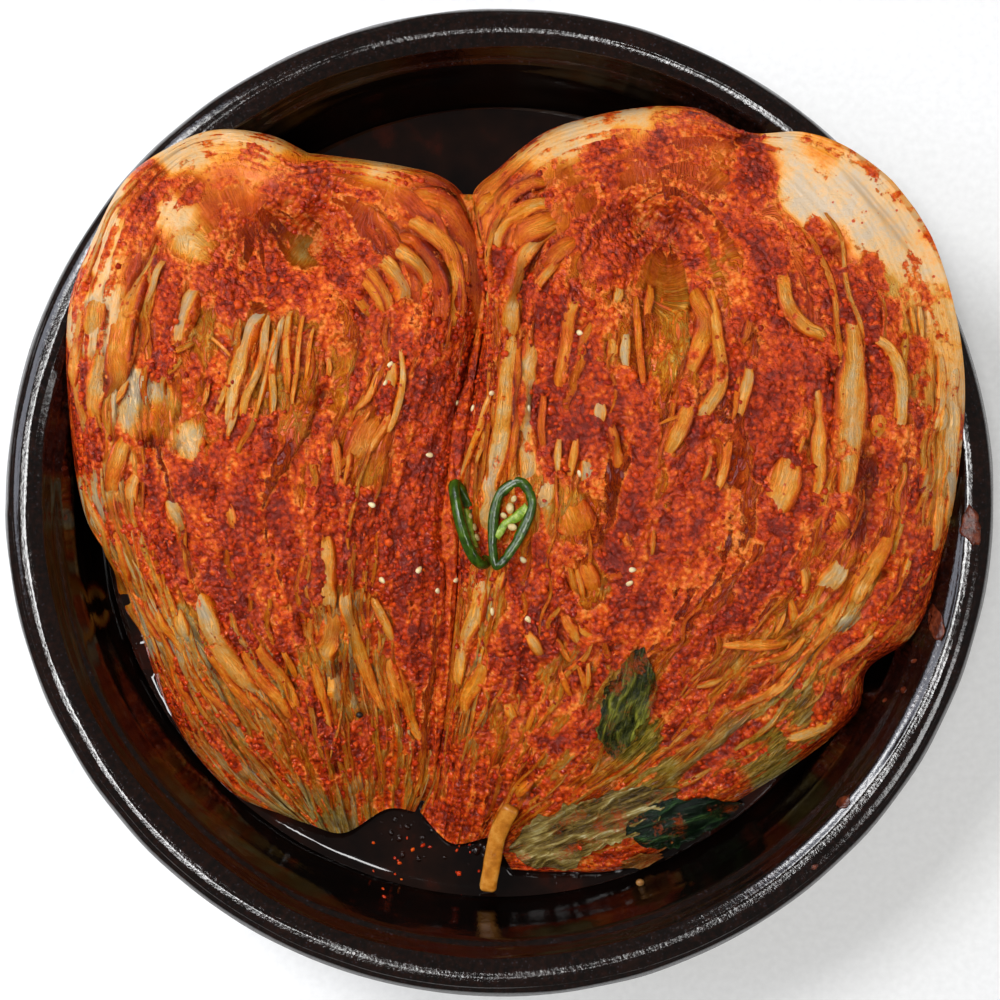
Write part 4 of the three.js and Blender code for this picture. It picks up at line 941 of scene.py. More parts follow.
# The strips of leaf that stand out of the paste, in millimetres: width all along, or at start,
# middle and end; thickness; tone, or tone at start and end; how stained the edges are; how far
# the strip stands up; then the plan places that it passes through, as x, y, x, y and so on
LEFT_STRIPS = [
    (5.8, 5.8, (0.38, 0.5), 0.5, 2.6, -43, 108, -37, 109, -31, 107, -24, 102, -20, 97, -18,
     90, -17, 76, -19, 58),
    (5.4, 3.8, (0.72, 0.8), 0.3, 0.8, -44, 101, -37, 102, -29, 97, -24, 89, -22, 78, -22, 64),
    (5, 5, (0.34, 0.45), 0.45, 2.2, -47, 96, -41, 98, -36, 95, -31, 91, -27, 84, -26, 77),
    (5.4, 5, (0.42, 0.28), 0.3, 2.4, -51, 94, -46, 95, -41, 90, -37, 84, -35, 78, -37, 71),
    (3.5, 3.8, 0.5, 0.4, 2, -55, 90, -51, 91, -46, 83, -42, 75, -41, 69),
    (3.1, 3.5, (0.5, 0.55), 0.4, 1.6, -57, 86, -54, 87, -48, 80, -44, 73, -44, 68),
    (3.1, 3.5, (0.5, 0.6), 0.4, 1.4, -59, 83, -55, 79, -51, 73, -48, 67),
    (7.7, 5.4, (0.62, 0.8), 0.3, 2.2, -39, 116, -28, 117, -18, 111, -13, 101, -10, 88, -10,
     76, -12, 60),
    (3.5, 3.1, (0.5, 0.66), 0.3, 1.8, -17, 104, -14, 94, -14, 83, -15, 68),
    ((1.9, 8.4, 9.2), 4.6, (0.34, 0.08), 0.5, 3.2, -115, 88, -118, 79, -121, 71, -124, 63,
     -126, 58),
    (2.3, 3.5, (0.4, 0.45), 0.3, 1.8, -125, 97, -130, 91, -134, 83, -137, 74, -138, 65),
    (8.4, 3.8, (0.4, 0.5), 0.5, 1.2, -136, 91, -141, 81, -144, 71, -145, 60, -147, 45, -148,
     38),
    (3.8, 3.1, (0.45, 0.5), 0.4, 1.6, -140, 78, -141, 66, -143, 55, -145, 44),
    (6.5, 3.8, (0.36, 0.4), 0.3, 1.2, -154, 82, -156, 71, -158, 60),
    ((4.6, 6.9, 4.6), 4.6, (0.14, 0.4), 0.45, 2.6, -152, 63, -152, 55, -155, 42, -156, 34,
     -156, 27),
    (3.5, 3.1, (0.4, 0.5), 0.3, 1, -160, 78, -162, 64, -163, 51, -163, 39),
    ((3.8, 5.8, 3.5), 4.2, (0.42, 0.52), 0.4, 2.6, -142, 30, -146, 17, -149, 7, -152, -2),
    (2.3, 2.3, (0.4, 0.5), 0.3, 1.2, -142, 50, -144, 42, -150, 36),
    (4.2, 3.1, (0.36, 0.45), 0.5, 1.2, -138, 15, -141, 5, -142, -5),
    ((5.4, 10.4, 8.4), 5, (0.3, 0.1), 0.6, 3, -118, 30, -119, 22, -120, 15),
    ((3.1, 5, 5.8), 4.2, (0.35, 0.12), 0.5, 2.4, -130, 5, -126, 0, -123, -8, -120, -18),
    (3.8, 3.1, (0.45, 0.55), 0.5, 1.2, -107, 2, -103, -5, -103, -15),
    (3.5, 3.5, (0.42, 0.5), 0.4, 1.4, -162, 13, -158, 0, -152, -13, -147, -26, -143, -38,
     -138, -49, -132, -57),
    (2.7, 3.1, (0.5, 0.56), 0.3, 1.6, -149, -7, -145, -21, -140, -35, -135, -46, -127, -58),
    (2.3, 2.7, (0.5, 0.58), 0.3, 1.4, -138, -34, -133, -45, -127, -56, -122, -64),
    (2.7, 3.1, (0.5, 0.55), 0.3, 1.6, -132, -38, -128, -48, -123, -55, -118, -62),
    (4.6, 2.7, (0.3, 0.42), 0.4, 1.2, -125, -40, -122, -47, -120, -56),
    ((3.8, 5, 2.3), 3.8, (0.16, 0.36), 0.4, 3, -89, 77, -94, 68, -98, 58, -101, 49, -103, 38,
     -104, 24),
    (2.6, 3.5, (0.26, 0.36), 0.3, 2.4, -87, 76, -90, 64, -93, 52, -97, 40, -100, 28),
    (1.6, 2.7, (0.34, 0.44), 0.3, 1.8, -85, 70, -88, 58, -90, 45, -94, 30),
    (2.2, 3.5, (0.26, 0.38), 0.3, 2.2, -82, 76, -85, 64, -87, 52, -87, 40, -89, 29),
    (2.2, 3.1, (0.36, 0.5), 0.3, 2, -79, 78, -81, 64, -82, 52, -81, 38),
    (1.7, 2.7, (0.44, 0.5), 0.3, 1.6, -75, 76, -77, 62, -78, 48, -80, 34),
    (1.7, 2.3, (0.4, 0.5), 0.3, 1.6, -70, 70, -73, 58, -75, 44),
    (1.5, 1.9, 0.45, 0.2, 1.4, -113, 66, -107, 60, -102, 54),
    (1.9, 2.3, (0.4, 0.46), 0.2, 1.8, -103, 48, -107, 40, -110, 30),
    (1.9, 2.3, (0.32, 0.42), 0.2, 1.8, -100, 40, -102, 31, -105, 22),
    (1.9, 1.9, (0.55, 0.5), 0.2, 1.2, -110, 50, -113, 41, -114, 34),
    (2.3, 2.3, (0.5, 0.55), 0.3, 1.2, -68, 58, -65, 51, -68, 45),
    ((3.1, 5.8, 3.1), 3.5, 0.2, 0.6, 2, -42, 58, -41, 50, -41, 41),
    (1.9, 3.1, (0.34, 0.42), 0.2, 2.4, -39, 63, -37, 56, -37, 49, -39, 38, -42, 29, -46, 23),
    (2.3, 2.3, (0.5, 0.55), 0.3, 1.2, -46, 54, -49, 42, -53, 37, -58, 34),
    ((8.4, 11.5, 6.9), 4.6, (0.54, 0.58), 0.35, 2.6, -43, 36, -49, 30, -53, 22, -56, 11),
    (2.3, 3.5, (0.42, 0.48), 0.2, 3.2, -42, 38, -44, 30, -49, 22, -52, 14),
    (3.1, 3.1, (0.5, 0.45), 0.4, 1.8, -65, 28, -63, 19, -63, 10, -65, 2),
    (1.9, 2.3, 0.5, 0.3, 1.4, -59, 25, -58, 15, -60, 5),
    (2.7, 2.7, (0.25, 0.3), 0.5, 1.4, -81, 15, -78, 14, -75, 15),
    ((2.7, 4.6, 4.6), 3.8, (0.34, 0.32), 0.35, 2.6, -68, -8, -66, -17, -65, -26, -65, -36,
     -64, -46),
    ((3.8, 4.6, 1.9), 3.5, (0.34, 0.46), 0.3, 2.8, -59, -29, -59, -38, -57, -47, -55, -55,
     -52, -65, -47, -76, -43, -85),
    (6.1, 3.1, (0.22, 0.3), 0.5, 1.6, -55, -31, -53, -38, -53, -42),
    (3.1, 3.1, (0.46, 0.42), 0.4, 2, -50, -33, -46, -42, -41, -53, -41, -57),
    (6.9, 3.1, (0.44, 0.46), 0.3, 1.6, -64, -39, -64, -49, -67, -59, -64, -64),
    ((4.6, 7.3, 5.4), 3.1, (0.24, 0.3), 0.2, 1.8, -64, -62, -61, -71, -59, -81),
    (3.1, 3.1, (0.55, 0.58), 0.3, 1.6, -74, -57, -70, -68, -66, -80, -64, -91),
    (3.5, 3.1, (0.5, 0.56), 0.3, 1.8, -40, -59, -38, -68, -36, -78, -32, -88, -30, -96),
    (4.6, 2.7, (0.5, 0.55), 0.3, 1.2, -44, -57, -40, -69, -38, -81),
    (4.2, 3.1, 0.5, 0.5, 1.6, -21, -53, -18, -62, -20, -72),
    ((6.1, 6.9, 3.8), 3.8, (0.12, 0.4), 0.35, 2.6, -119, -33, -114, -40, -109, -51, -103, -61,
     -97, -70, -91, -76),
    (3.1, 3.1, (0.54, 0.6), 0.3, 1.4, -115, -56, -107, -65, -97, -76, -91, -84),
    (2.7, 3.1, (0.56, 0.62), 0.3, 1.4, -120, -62, -113, -73, -103, -81, -97, -90),
    (3.5, 3.1, (0.52, 0.55), 0.3, 1.8, -101, -53, -94, -65, -84, -78, -78, -87),
    (3.8, 3.1, (0.5, 0.52), 0.3, 1.8, -94, -51, -87, -64, -80, -73, -77, -84),
    (2.3, 2.7, (0.6, 0.64), 0.3, 1.2, -126, -65, -120, -76, -113, -85),
    (2.3, 2.7, (0.56, 0.6), 0.3, 1.6, -100, -71, -89, -81, -80, -92),
    (2.3, 2.7, (0.5, 0.6), 0.3, 1.2, -85, -53, -80, -64, -78, -72),
]
RIGHT_STRIPS = [
    ((3.8, 5.8, 3.5), 5.4, (0.42, 0.46), 0.45, 2.8, 27, 115, 18, 115, 9, 112, 1, 105, -2, 97,
     -4, 91),
    (7.7, 3.8, (0.5, 0.6), 0.4, 1.2, 26, 110, 19, 108, 11, 104, 5, 97),
    ((3.5, 5.4, 5.8), 5.4, (0.45, 0.36), 0.45, 3, 31, 108, 24, 106, 16, 102, 10, 95, 6, 87, 4,
     78, 4, 66, 3, 58),
    (3.5, 3.8, (0.52, 0.5), 0.4, 2, 28, 95, 22, 92, 17, 86, 14, 78),
    (6.1, 3.5, (0.6, 0.66), 0.4, 1.2, 33, 103, 26, 99, 20, 94, 16, 87),
    ((4.2, 6.1, 5), 5, (0.36, 0.1), 0.5, 3.6, 4, 71, 4, 60, 3, 45, 1, 28, -2, 12, -4, -3, -5,
     -18),
    (2.7, 3.8, (0.66, 0.6), 0.5, 1.8, 8, 66, 6, 47, 5, 28, 3, 8),
    ((4.6, 5.8, 4.6), 5, (0.42, 0.12), 0.5, 3.2, 14, 69, 12, 58, 11, 45, 10, 30, 11, 16, 12,
     2),
    (2.3, 3.5, (0.7, 0.6), 0.4, 1.4, 16, 47, 16, 31, 16, 16),
    ((5.8, 7.3, 5.8), 4.6, (0.12, 0.1), 0.45, 2.4, 19, 14, 17, 5, 16, -7),
    (2.3, 2.7, (0.3, 0.35), 0.5, 1.6, 22, 28, 23, 18, 21, 8),
    ((1.9, 2.3, 1.2), 2.7, (0.42, 0.5), 0.3, 2.4, -2, 45, -6, 34, -10, 22, -14, 9, -17, 1),
    (1.9, 2.3, (0.45, 0.3), 0.4, 1.4, -6, 30, -7, 22, -10, 12),
    (5, 4.2, (0.46, 0.62), 0.4, 2.2, 2, 121, -4, 116, -9, 108, -9, 98, -7, 89),
    (4.6, 3.8, (0.5, 0.56), 0.5, 1.6, 23, 124, 12, 122, 3, 116, -1, 108),
    (3.8, 3.1, (0.62, 0.66), 0.4, 1.2, -6, 81, -7, 70, -8, 58),
    (1.9, 3.1, (0.2, 0.3), 0.5, 1.6, 1, 84, 1, 78),
    ((3.8, 5, 3.1), 4.2, (0.5, 0.62), 0.5, 2.2, 33, 83, 28, 74, 25, 61, 23, 48, 23, 38),
    ((2.7, 3.5, 2.3), 3.1, (0.32, 0.36), 0.4, 2, 47, 87, 46, 79, 44, 73),
    ((2.3, 3.1, 2.3), 3.1, (0.24, 0.28), 0.4, 2.4, 50, 69, 49, 58, 49, 48),
    (4.2, 2.7, (0.42, 0.5), 0.5, 1.2, 44, 66, 43, 58, 42, 52),
    (2.3, 3.1, (0.5, 0.58), 0.3, 1.8, 52, 84, 52, 74, 53, 62, 54, 50, 56, 40),
    (2.7, 2.7, (0.48, 0.55), 0.3, 1.6, 57, 87, 57, 78, 56, 68),
    ((3.8, 5.8, 3.5), 4.2, (0.46, 0.5), 0.4, 2.4, 71, 87, 75, 81, 79, 71, 78, 62, 75, 54, 71,
     45),
    ((3.1, 3.8, 5.4), 4.2, (0.5, 0.3), 0.4, 2.8, 79, 88, 82, 78, 84, 66, 85, 55, 84, 44, 79,
     35, 76, 28),
    ((4.6, 5.4, 3.5), 3.1, (0.45, 0.42), 0.4, 1.8, 75, 41, 72, 35, 69, 27, 65, 19, 63, 15),
    (1.3, 1.9, (0.42, 0.45), 0.2, 2.4, 60, 29, 66, 32, 73, 34),
    ((2.7, 4.2, 2.7), 3.5, (0.12, 0.2), 0.5, 2.2, 37, 42, 39, 35, 39, 27),
    ((3.5, 5, 3.5), 3.8, (0.16, 0.14), 0.5, 2.4, 34, 20, 33, 12, 32, 4),
    (2.7, 2.7, (0.42, 0.4), 0.5, 1.4, 30, 28, 28, 16, 27, 6),
    ((3.5, 3.5, 4.6), 4.2, (0.5, 0.6), 0.4, 3, 42, 35, 44, 26, 45, 16, 47, 7),
    ((7.7, 11.9, 6.9), 4.6, (0.58, 0.56), 0.3, 2.2, 26, 5, 28, -4, 30, -12, 31, -19),
    (5, 3.8, (0.55, 0.56), 0.3, 2.6, 33, 1, 34, -7, 33, -16),
    ((3.8, 5.8, 3.5), 3.5, (0.56, 0.5), 0.3, 2, 32, -19, 34, -27, 36, -34, 37, -39),
    (2.7, 2.7, (0.46, 0.5), 0.4, 1.6, 24, -21, 27, -28, 29, -38),
    (2.3, 2.7, (0.48, 0.5), 0.3, 1.6, 29, -22, 31, -30, 33, -40),
    (2.3, 3.1, (0.62, 0.6), 0.3, 1.6, 37, -26, 42, -29, 48, -28, 52, -25),
    ((3.8, 5, 3.1), 3.1, (0.62, 0.66), 0.5, 1.4, 46, -9, 49, -15, 52, -21),
    (1.9, 2.3, (0.48, 0.45), 0.4, 1.4, 60, -8, 59, -16, 58, -23),
    ((2.7, 3.8, 3.1), 3.5, (0.36, 0.34), 0.5, 2.2, 95, 57, 95, 47, 94, 38, 92, 29),
    (3.1, 2.7, 0.55, 0.4, 1.2, 97, 74, 95, 66, 92, 58),
    ((2.3, 3.5, 2.3), 3.1, (0.5, 0.52), 0.4, 1.6, 89, 28, 88, 17, 85, 6, 82, 1),
    (1.9, 2.3, (0.45, 0.5), 0.4, 1.2, 82, 21, 79, 12, 76, 5),
    (1.9, 2.3, (0.55, 0.6), 0.4, 1, 93, 51, 91, 39, 88, 28),
    ((3.1, 5, 3.1), 4.2, (0.5, 0.3), 0.4, 3, 107, 94, 108, 87, 110, 79, 113, 72, 119, 66, 130,
     61),
    (3.5, 3.5, (0.18, 0.22), 0.4, 3, 115, 74, 119, 69),
    ((3.5, 10.8, 3.5), 5, (0.4, 0.28), 0.55, 3.8, 134, 75, 135, 65, 136, 52, 135, 38, 134, 24,
     133, 10, 133, -3),
    ((2.7, 4.2, 3.1), 4.6, (0.3, 0.34), 0.3, 3.6, 138, 65, 146, 62, 152, 56, 154, 46, 155, 35,
     153, 22),
    ((3.1, 5.8, 6.9), 3.1, (0.4, 0.42), 0.3, 1.6, 146, 38, 146, 30, 145, 22),
    ((5, 10, 8.4), 4.6, (0.38, 0.34), 0.45, 2.6, 113, 22, 111, 12, 108, 3, 105, -7),
    (7.7, 3.8, 0.12, 0.3, 2.4, 107, -4, 106, -8),
    ((2.7, 4.2, 3.5), 3.5, (0.34, 0.28), 0.6, 2, 86, -10, 84, -17, 83, -23),
    ((4.2, 5.4, 4.2), 3.5, (0.14, 0.16), 0.6, 2, 82, -28, 80, -34),
    ((3.1, 5, 3.1), 3.5, 0.42, 0.5, 2, 120, 48, 123, 40, 124, 30, 123, 18, 123, 8, 122, -1),
    (1.9, 2.3, 0.45, 0.4, 1.2, 119, 28, 115, 22, 114, 15),
    ((5.4, 8.4, 5.4), 3.1, (0.48, 0.5), 0.2, 1.6, 126, -3, 130, -8, 133, -15),
    ((5.8, 6.5, 5.8), 3.5, (0.2, 0.24), 0.35, 1.8, 133, -19, 130, -26, 125, -32, 120, -37),
    ((1.9, 2.7, 2.3), 3.1, (0.4, 0.42), 0.4, 1.8, 116, -21, 117, -31, 117, -40),
    ((1.9, 3.8, 3.1), 3.1, (0.52, 0.5), 0.4, 1.8, 110, -34, 112, -42, 113, -51),
    (1.9, 2.7, 0.45, 0.3, 1.8, 111, -39, 108, -47, 104, -54),
    (3.8, 3.1, (0.16, 0.2), 0.5, 1.6, 102, -45, 103, -51),
    ((4.2, 5.8, 4.6), 3.8, (0.5, 0.48), 0.35, 2.4, 151, -9, 148, -18, 142, -27, 138, -35, 135,
     -44),
    ((2.3, 3.1, 1.9), 3.1, 0.42, 0.4, 1.8, 166, 19, 164, 10, 161, 1),
    (2.3, 2.7, 0.46, 0.3, 1.6, 159, -18, 156, -25, 155, -34),
    (1.9, 2.7, 0.45, 0.3, 1.6, 168, -22, 164, -30, 158, -35),
    ((3.8, 5, 3.5), 3.8, (0.2, 0.3), 0.3, 1.2, 174, 58, 174, 39, 173, 20, 173, 1, 171, -15),
    ((1.9, 2.7, 1.9), 3.1, (0.3, 0.38), 0.2, 1.8, 168, 62, 170, 47, 168, 31, 165, 22),
    ((2.7, 3.8, 1.9), 3.1, (0.36, 0.4), 0.2, 1.8, 171, 8, 169, -3, 168, -17, 167, -23),
    ((1.9, 3.1, 1.9), 2.7, (0.28, 0.3), 0.2, 1.6, 171, 41, 170, 31, 168, 24),
    (1.9, 2.3, (0.4, 0.42), 0.2, 1, 161, 79, 162, 70, 163, 60),
    (1.5, 2.3, 0.44, 0.2, 1, 157, 78, 159, 69, 160, 62),
    ((1.9, 3.5, 1.5), 3.1, 0.5, 0.3, 2.2, 115, -53, 104, -55, 92, -55, 82, -56),
    ((1.9, 3.1, 1.5), 2.7, 0.52, 0.3, 1.8, 120, -49, 112, -58, 102, -61, 93, -64),
    ((2.3, 3.5, 2.3), 3.1, 0.5, 0.3, 2.2, 145, -21, 135, -33, 128, -45, 122, -53, 117, -61),
    ((1.9, 3.5, 3.1), 3.1, (0.48, 0.42), 0.3, 2.4, 130, -41, 125, -50, 118, -58, 112, -65,
     106, -72, 95, -77, 86, -82),
    ((1.9, 3.1, 1.9), 2.7, 0.5, 0.3, 1.8, 145, -48, 138, -55, 130, -61, 120, -68),
    ((1.9, 2.7, 1.9), 2.7, 0.52, 0.3, 1.4, 143, -57, 138, -64, 133, -72, 130, -78),
    ((2.3, 3.8, 2.3), 3.1, (0.36, 0.38), 0.2, 1.8, 131, -81, 124, -86, 115, -90, 106, -92),
    ((1.5, 3.1, 1.5), 2.3, (0.5, 0.52), 0.3, 1.4, 88, -67, 82, -69, 73, -72),
    ((2.7, 4.2, 2.3), 3.5, (0.4, 0.36), 0.5, 2.2, 9, -46, 12, -53, 16, -59, 18, -64),
    ((2.3, 3.8, 1.9), 3.1, 0.44, 0.4, 2, 22, -40, 26, -46, 30, -53, 32, -58),
    ((1.9, 2.7, 1.5), 2.7, 0.46, 0.3, 2, 28, -46, 33, -50, 39, -53),
    (1.9, 2.3, 0.5, 0.3, 1.6, 21, -49, 25, -58, 29, -64),
    (2.3, 2.7, (0.55, 0.58), 0.3, 1.6, 21, -62, 26, -70, 29, -78),
    (1.9, 2.7, (0.52, 0.55), 0.3, 1.6, 29, -59, 32, -68, 33, -78),
    (1.9, 2.7, (0.5, 0.55), 0.3, 1.4, 34, -58, 35, -67, 32, -76),
    ((4.6, 5.4, 3.5), 3.8, (0.26, 0.42), 0.5, 2.6, -9, -25, -8, -35, -10, -45, -13, -55, -16,
     -67, -17, -76),
    ((3.1, 4.2, 3.1), 3.5, (0.2, 0.38), 0.5, 2.6, -4, -25, -6, -34, -7, -42, -9, -53),
    (3.5, 3.1, (0.2, 0.3), 0.6, 1.8, -12, -27, -14, -33, -14, -38),
    ((3.1, 4.2, 2.3), 3.1, (0.34, 0.45), 0.5, 1.8, 2, -22, 1, -30, -1, -38),
    ((3.1, 5.4, 3.1), 3.5, (0.5, 0.44), 0.4, 2.2, -5, -57, -8, -67, -13, -76, -14, -85),
    ((3.1, 4.2, 3.1), 3.1, (0.42, 0.46), 0.4, 2, 1, -74, 4, -81, 7, -88),
    (2.7, 2.7, (0.5, 0.52), 0.4, 1.6, 13, -76, 12, -84, 9, -91),
    ((3.5, 5, 5.4), 4.2, (0.6, 0.62), 0.3, 2.6, 17, -103, 12, -107, 6, -112, 2, -117),
]


def strips_of(rows, first_seed):
    batch = Batch()
    for k, (width, thickness, tones, stain, lift, *flat) in enumerate(rows):
        tones = tones if isinstance(tones, tuple) else (tones, tones)
        points = np.reshape(flat, (-1, 2))
        lay_strip(batch, points, width, thickness, tones, stain, lift, first_seed + k)
    return batch


def strands(half, first_seed):
    """Edges of leaves that run down the whole half, partly under the paste."""
    batch = Batch()
    for k in range(STRANDS_A_HALF):
        start = chance.uniform(0.12, 0.93) ** 0.9
        across = chance.uniform(-0.93, 0.93)
        reach = chance.uniform(0.05, 0.2)
        width = chance.uniform(1.0, 2.8) * (1.25 - 0.5 * start)
        drifted = chance.normal(0, 0.05)
        tone = chance.uniform(0.32, 0.72)
        share = np.linspace(0, 1, 6)
        along = np.minimum(start + reach * share, 0.985)
        weave = across + drifted * share + 0.02 * np.sin(share * chance.uniform(4, 16))
        plan = plan_place(half, np.clip(weave, -0.96, 0.96), along)
        cover, pale, green, sleek = patch_fields(plan).mean(1)
        if sleek > 0.6 or cover > chance.uniform(0.5, 0.95):
            continue
        tones = [0.5 * (tone + pale)] * 2
        lay_strip(batch, plan, width, width * 0.8 + 0.6, tones, 0.35, chance.uniform(-0.7, 1.3),
                  first_seed + k, green=0.8 * green, step=1.6, sleek=0.6 - 0.4 * start, rise=0.2)
    return batch


strips = {"left": strips_of(LEFT_STRIPS, 0), "right": strips_of(RIGHT_STRIPS, 300)}
finer = {"left": strands(LEFT_HALF, 600), "right": strands(RIGHT_HALF, 900)}


def open_gaps(side):
    """Beds each ribbon in the half's skin, and opens a gap beside its edges, sunk and given painted
    shade.
    """
    beds = np.vstack(strips[side].beds + finer[side].beds)
    lines = np.vstack(strips[side].gaps + finer[side].gaps)
    broad = sum(len(line) for line in strips[side].gaps)
    bed_tree, gap_tree = nearest(beds[:, :3]), nearest(lines)
    points, _, marks = bodies[side]
    inner = (np.abs(skins[side]["across"]) < 0.86) & (skins[side]["along"] < 0.97)
    for k in np.flatnonzero(inner):
        _, which, apart = bed_tree.find(points[k])
        points[k, 2] -= BED_DEEP * float(ease(1.1, 0.7, apart / max(beds[which, 3], 0.6)))
        _, which, apart = gap_tree.find(points[k])
        if apart < GAP_REACH:
            near = (1 - apart / GAP_REACH) ** 0.6 * (1 if which < broad else 0.3)
            # Painted shade in the gap beside the ribbon
            marks["deep"][k] = max(marks["deep"][k], 0.8 * near)
            points[k, 2] -= GAP_DEEP * near


for side in HALVES:
    open_gaps(side)

# ---------------------------------------------------------------- paste over the seam

SEAM_STEPS, SEAM_SPAN, SEAM_THICK = 190, 22, 2.2


def seam_paste():
    """Paste and soft leaf that bridge the gap where the two halves lie against each other."""
    along = np.linspace(0.2, 0.985, SEAM_STEPS)
    inset = 0.09 + 0.04 * drift(along * 14, 1.0, 101)
    near, far = (np.column_stack([plan_place(half, across, along),
                                  surface_height(half, across, along)])
                 for half, across in ((LEFT_HALF, 1 - inset), (RIGHT_HALF, inset * 0.9 - 1)))
    # The right half's runs start further up, so its stations are matched by their plan Y
    order = np.argsort(far[:, 1])
    far = np.stack([np.interp(near[:, 1], far[order, 1], far[order, k]) for k in range(3)], -1)
    share = np.linspace(0, 1, SEAM_SPAN)[None, :, None]
    sheet = near[:, None] * (1 - share) + far[:, None] * share
    ends = ease(0, 0.06, along - along[0])[:, None] * ease(0, 0.05, along[-1] - along)[:, None]
    x, y = sheet[..., 0], sheet[..., 1]
    bow = np.sin(share[..., 0] * math.pi)
    lump = 1.2 * drifts(x / 6, y / 6, 102, 2) + 0.7 * drifts(x / 2.2, y / 2.2, 103, 2)
    fold = 1.4 * crease(x / 3.4 + 0.6 * drift(y / 20, x / 9, 104), y / 26, 105)
    z = sheet[..., 2] + 1.6 - 2.4 * bow * (1 - 0.6 * ends) + ends * (lump + fold) * bow**0.5
    z -= 5.0 * (1 - bow**0.25) + 4.0 * (1 - ends)
    upper = settle(sheet[..., :2], z)
    ring = np.concatenate([upper, upper[:, ::-1] - (0, 0, SEAM_THICK)], 1)
    cover, tone, green, _ = patch_fields(sheet[..., :2].reshape(-1, 2))
    level = 0.55 + 0.5 * (cover - 0.5) - 0.22 * (fold.ravel() - 0.7)
    tone, level, green = (np.concatenate([field.reshape(z.shape)] * 2, 1).ravel()
                          for field in (tone, level, green))
    return Batch().add(ring, tube_faces(*ring.shape[:2]), tone=tone, paste=np.clip(level, 0, 1),
                       green=green, deep=0.0, sleek=0.2, flow=ring[..., [1, 0, 2]].reshape(-1, 3))


seam = seam_paste()
seam.make("seam_paste", CABBAGE)

# ---------------------------------------------------------------- paste

FIVE = np.arange(5)
NEXT = (FIVE + 1) % 5
LUMP = np.array([(math.cos(a), math.sin(a), h) for h, turns in ((-0.45, 0.0), (0.45, 0.5))
                 for a in (FIVE + turns) * TURN / 5] + [(0, 0, -1.1), (0, 0, 1.1)])
LUMP_FACES = np.vstack([joined(FIVE, NEXT, 5 + FIVE), joined(NEXT, 5 + NEXT, 5 + FIVE),
                        joined(10, NEXT, FIVE), joined(11, 5 + FIVE, 5 + NEXT)])
LUMP_SINK = 0.15
GRAINS_A_HALF = 2600


def scatter_lumps(seats, sizes, shades):
    """Lumps of crushed chilli on seats, each turned and stretched its own way."""
    count = len(seats)
    turn = chance.uniform(0, TURN, (count, 1))
    stretch = chance.uniform(0.65, 1.5, (count, 1, 3)) * sizes[:, None, None] / 2
    wild = 1 + chance.uniform(-0.22, 0.22, (count, len(LUMP), 1))
    shape = LUMP * stretch * wild
    lean = chance.uniform(-0.6, 0.6, (count, 1))
    x, y = spun(shape[..., 0], shape[..., 1], turn)
    z = shape[..., 2] * 0.65 + lean * shape[..., 0] - LUMP_SINK * sizes[:, None]
    faces = LUMP_FACES + len(LUMP) * np.arange(count)[:, None, None]
    return Batch().add(seats[:, None] + joined(x, y, z), [faces.reshape(-1, 3)],
                       shade=np.repeat(shades, len(LUMP)))


def paste_grains(side):
    """Grains of chilli paste where a half's skin is covered with it."""
    skin = skins[side]
    inner = (np.abs(skin["across"]) < 0.92) & (skin["along"] > 0.03) & (skin["along"] < 0.97)
    grid = skin["points"].reshape(COLUMNS + 1, ROWS + 1, 3)
    wide, long = (np.linalg.norm(np.gradient(grid, axis=k), axis=-1) for k in (0, 1))
    weight = np.where(inner, ease(0.45, 0.8, skin["marks"]["paste"]) + 0.002, 0)
    weight = weight * np.minimum(wide * long, 3.0).ravel()
    picked = chance.choice(len(weight), GRAINS_A_HALF, replace=False, p=weight / weight.sum())
    seats = skin["points"][picked] + chance.normal(0, 0.3, (GRAINS_A_HALF, 3))
    sizes = np.clip(chance.lognormal(0.35, 0.35, GRAINS_A_HALF), 0.9, 2.6)
    return scatter_lumps(seats, sizes, chance.uniform(0, 0.5, GRAINS_A_HALF))


grains = {side: paste_grains(side) for side in HALVES}

for side in HALVES:
    make_piece("cabbage_skin_" + side, *bodies[side], CABBAGE, "seasoned_cabbage",
               ["cabbage_half_" + side])
    strips[side].make("leaf_strips_" + side, CABBAGE)
    finer[side].make("leaf_strands_" + side, CABBAGE)
    grains[side].make("paste_grains_" + side, PASTE)

# ---------------------------------------------------------------- the basin

BASIN_SIDES, BASIN_STEPS = 240, 84
# Radius, height
OUTSIDE = [(134, 0), (137, 2.5), (151, 9), (165, 21), (174.5, 42), (181.5, 61.5), (188.5, 64.5),
           (191, 69), (189.5, 73.6)]
CREST = [(186, 75.6), (183, 75.9)]
INSIDE = [(radius, height) for height, radius in reversed(ROOM_INSIDE[:9])]
UNDERNEATH, WELL = [(0, 0), (60, 0), (120, 0)], [(120, 11.1), (60, 11), (0, 11)]


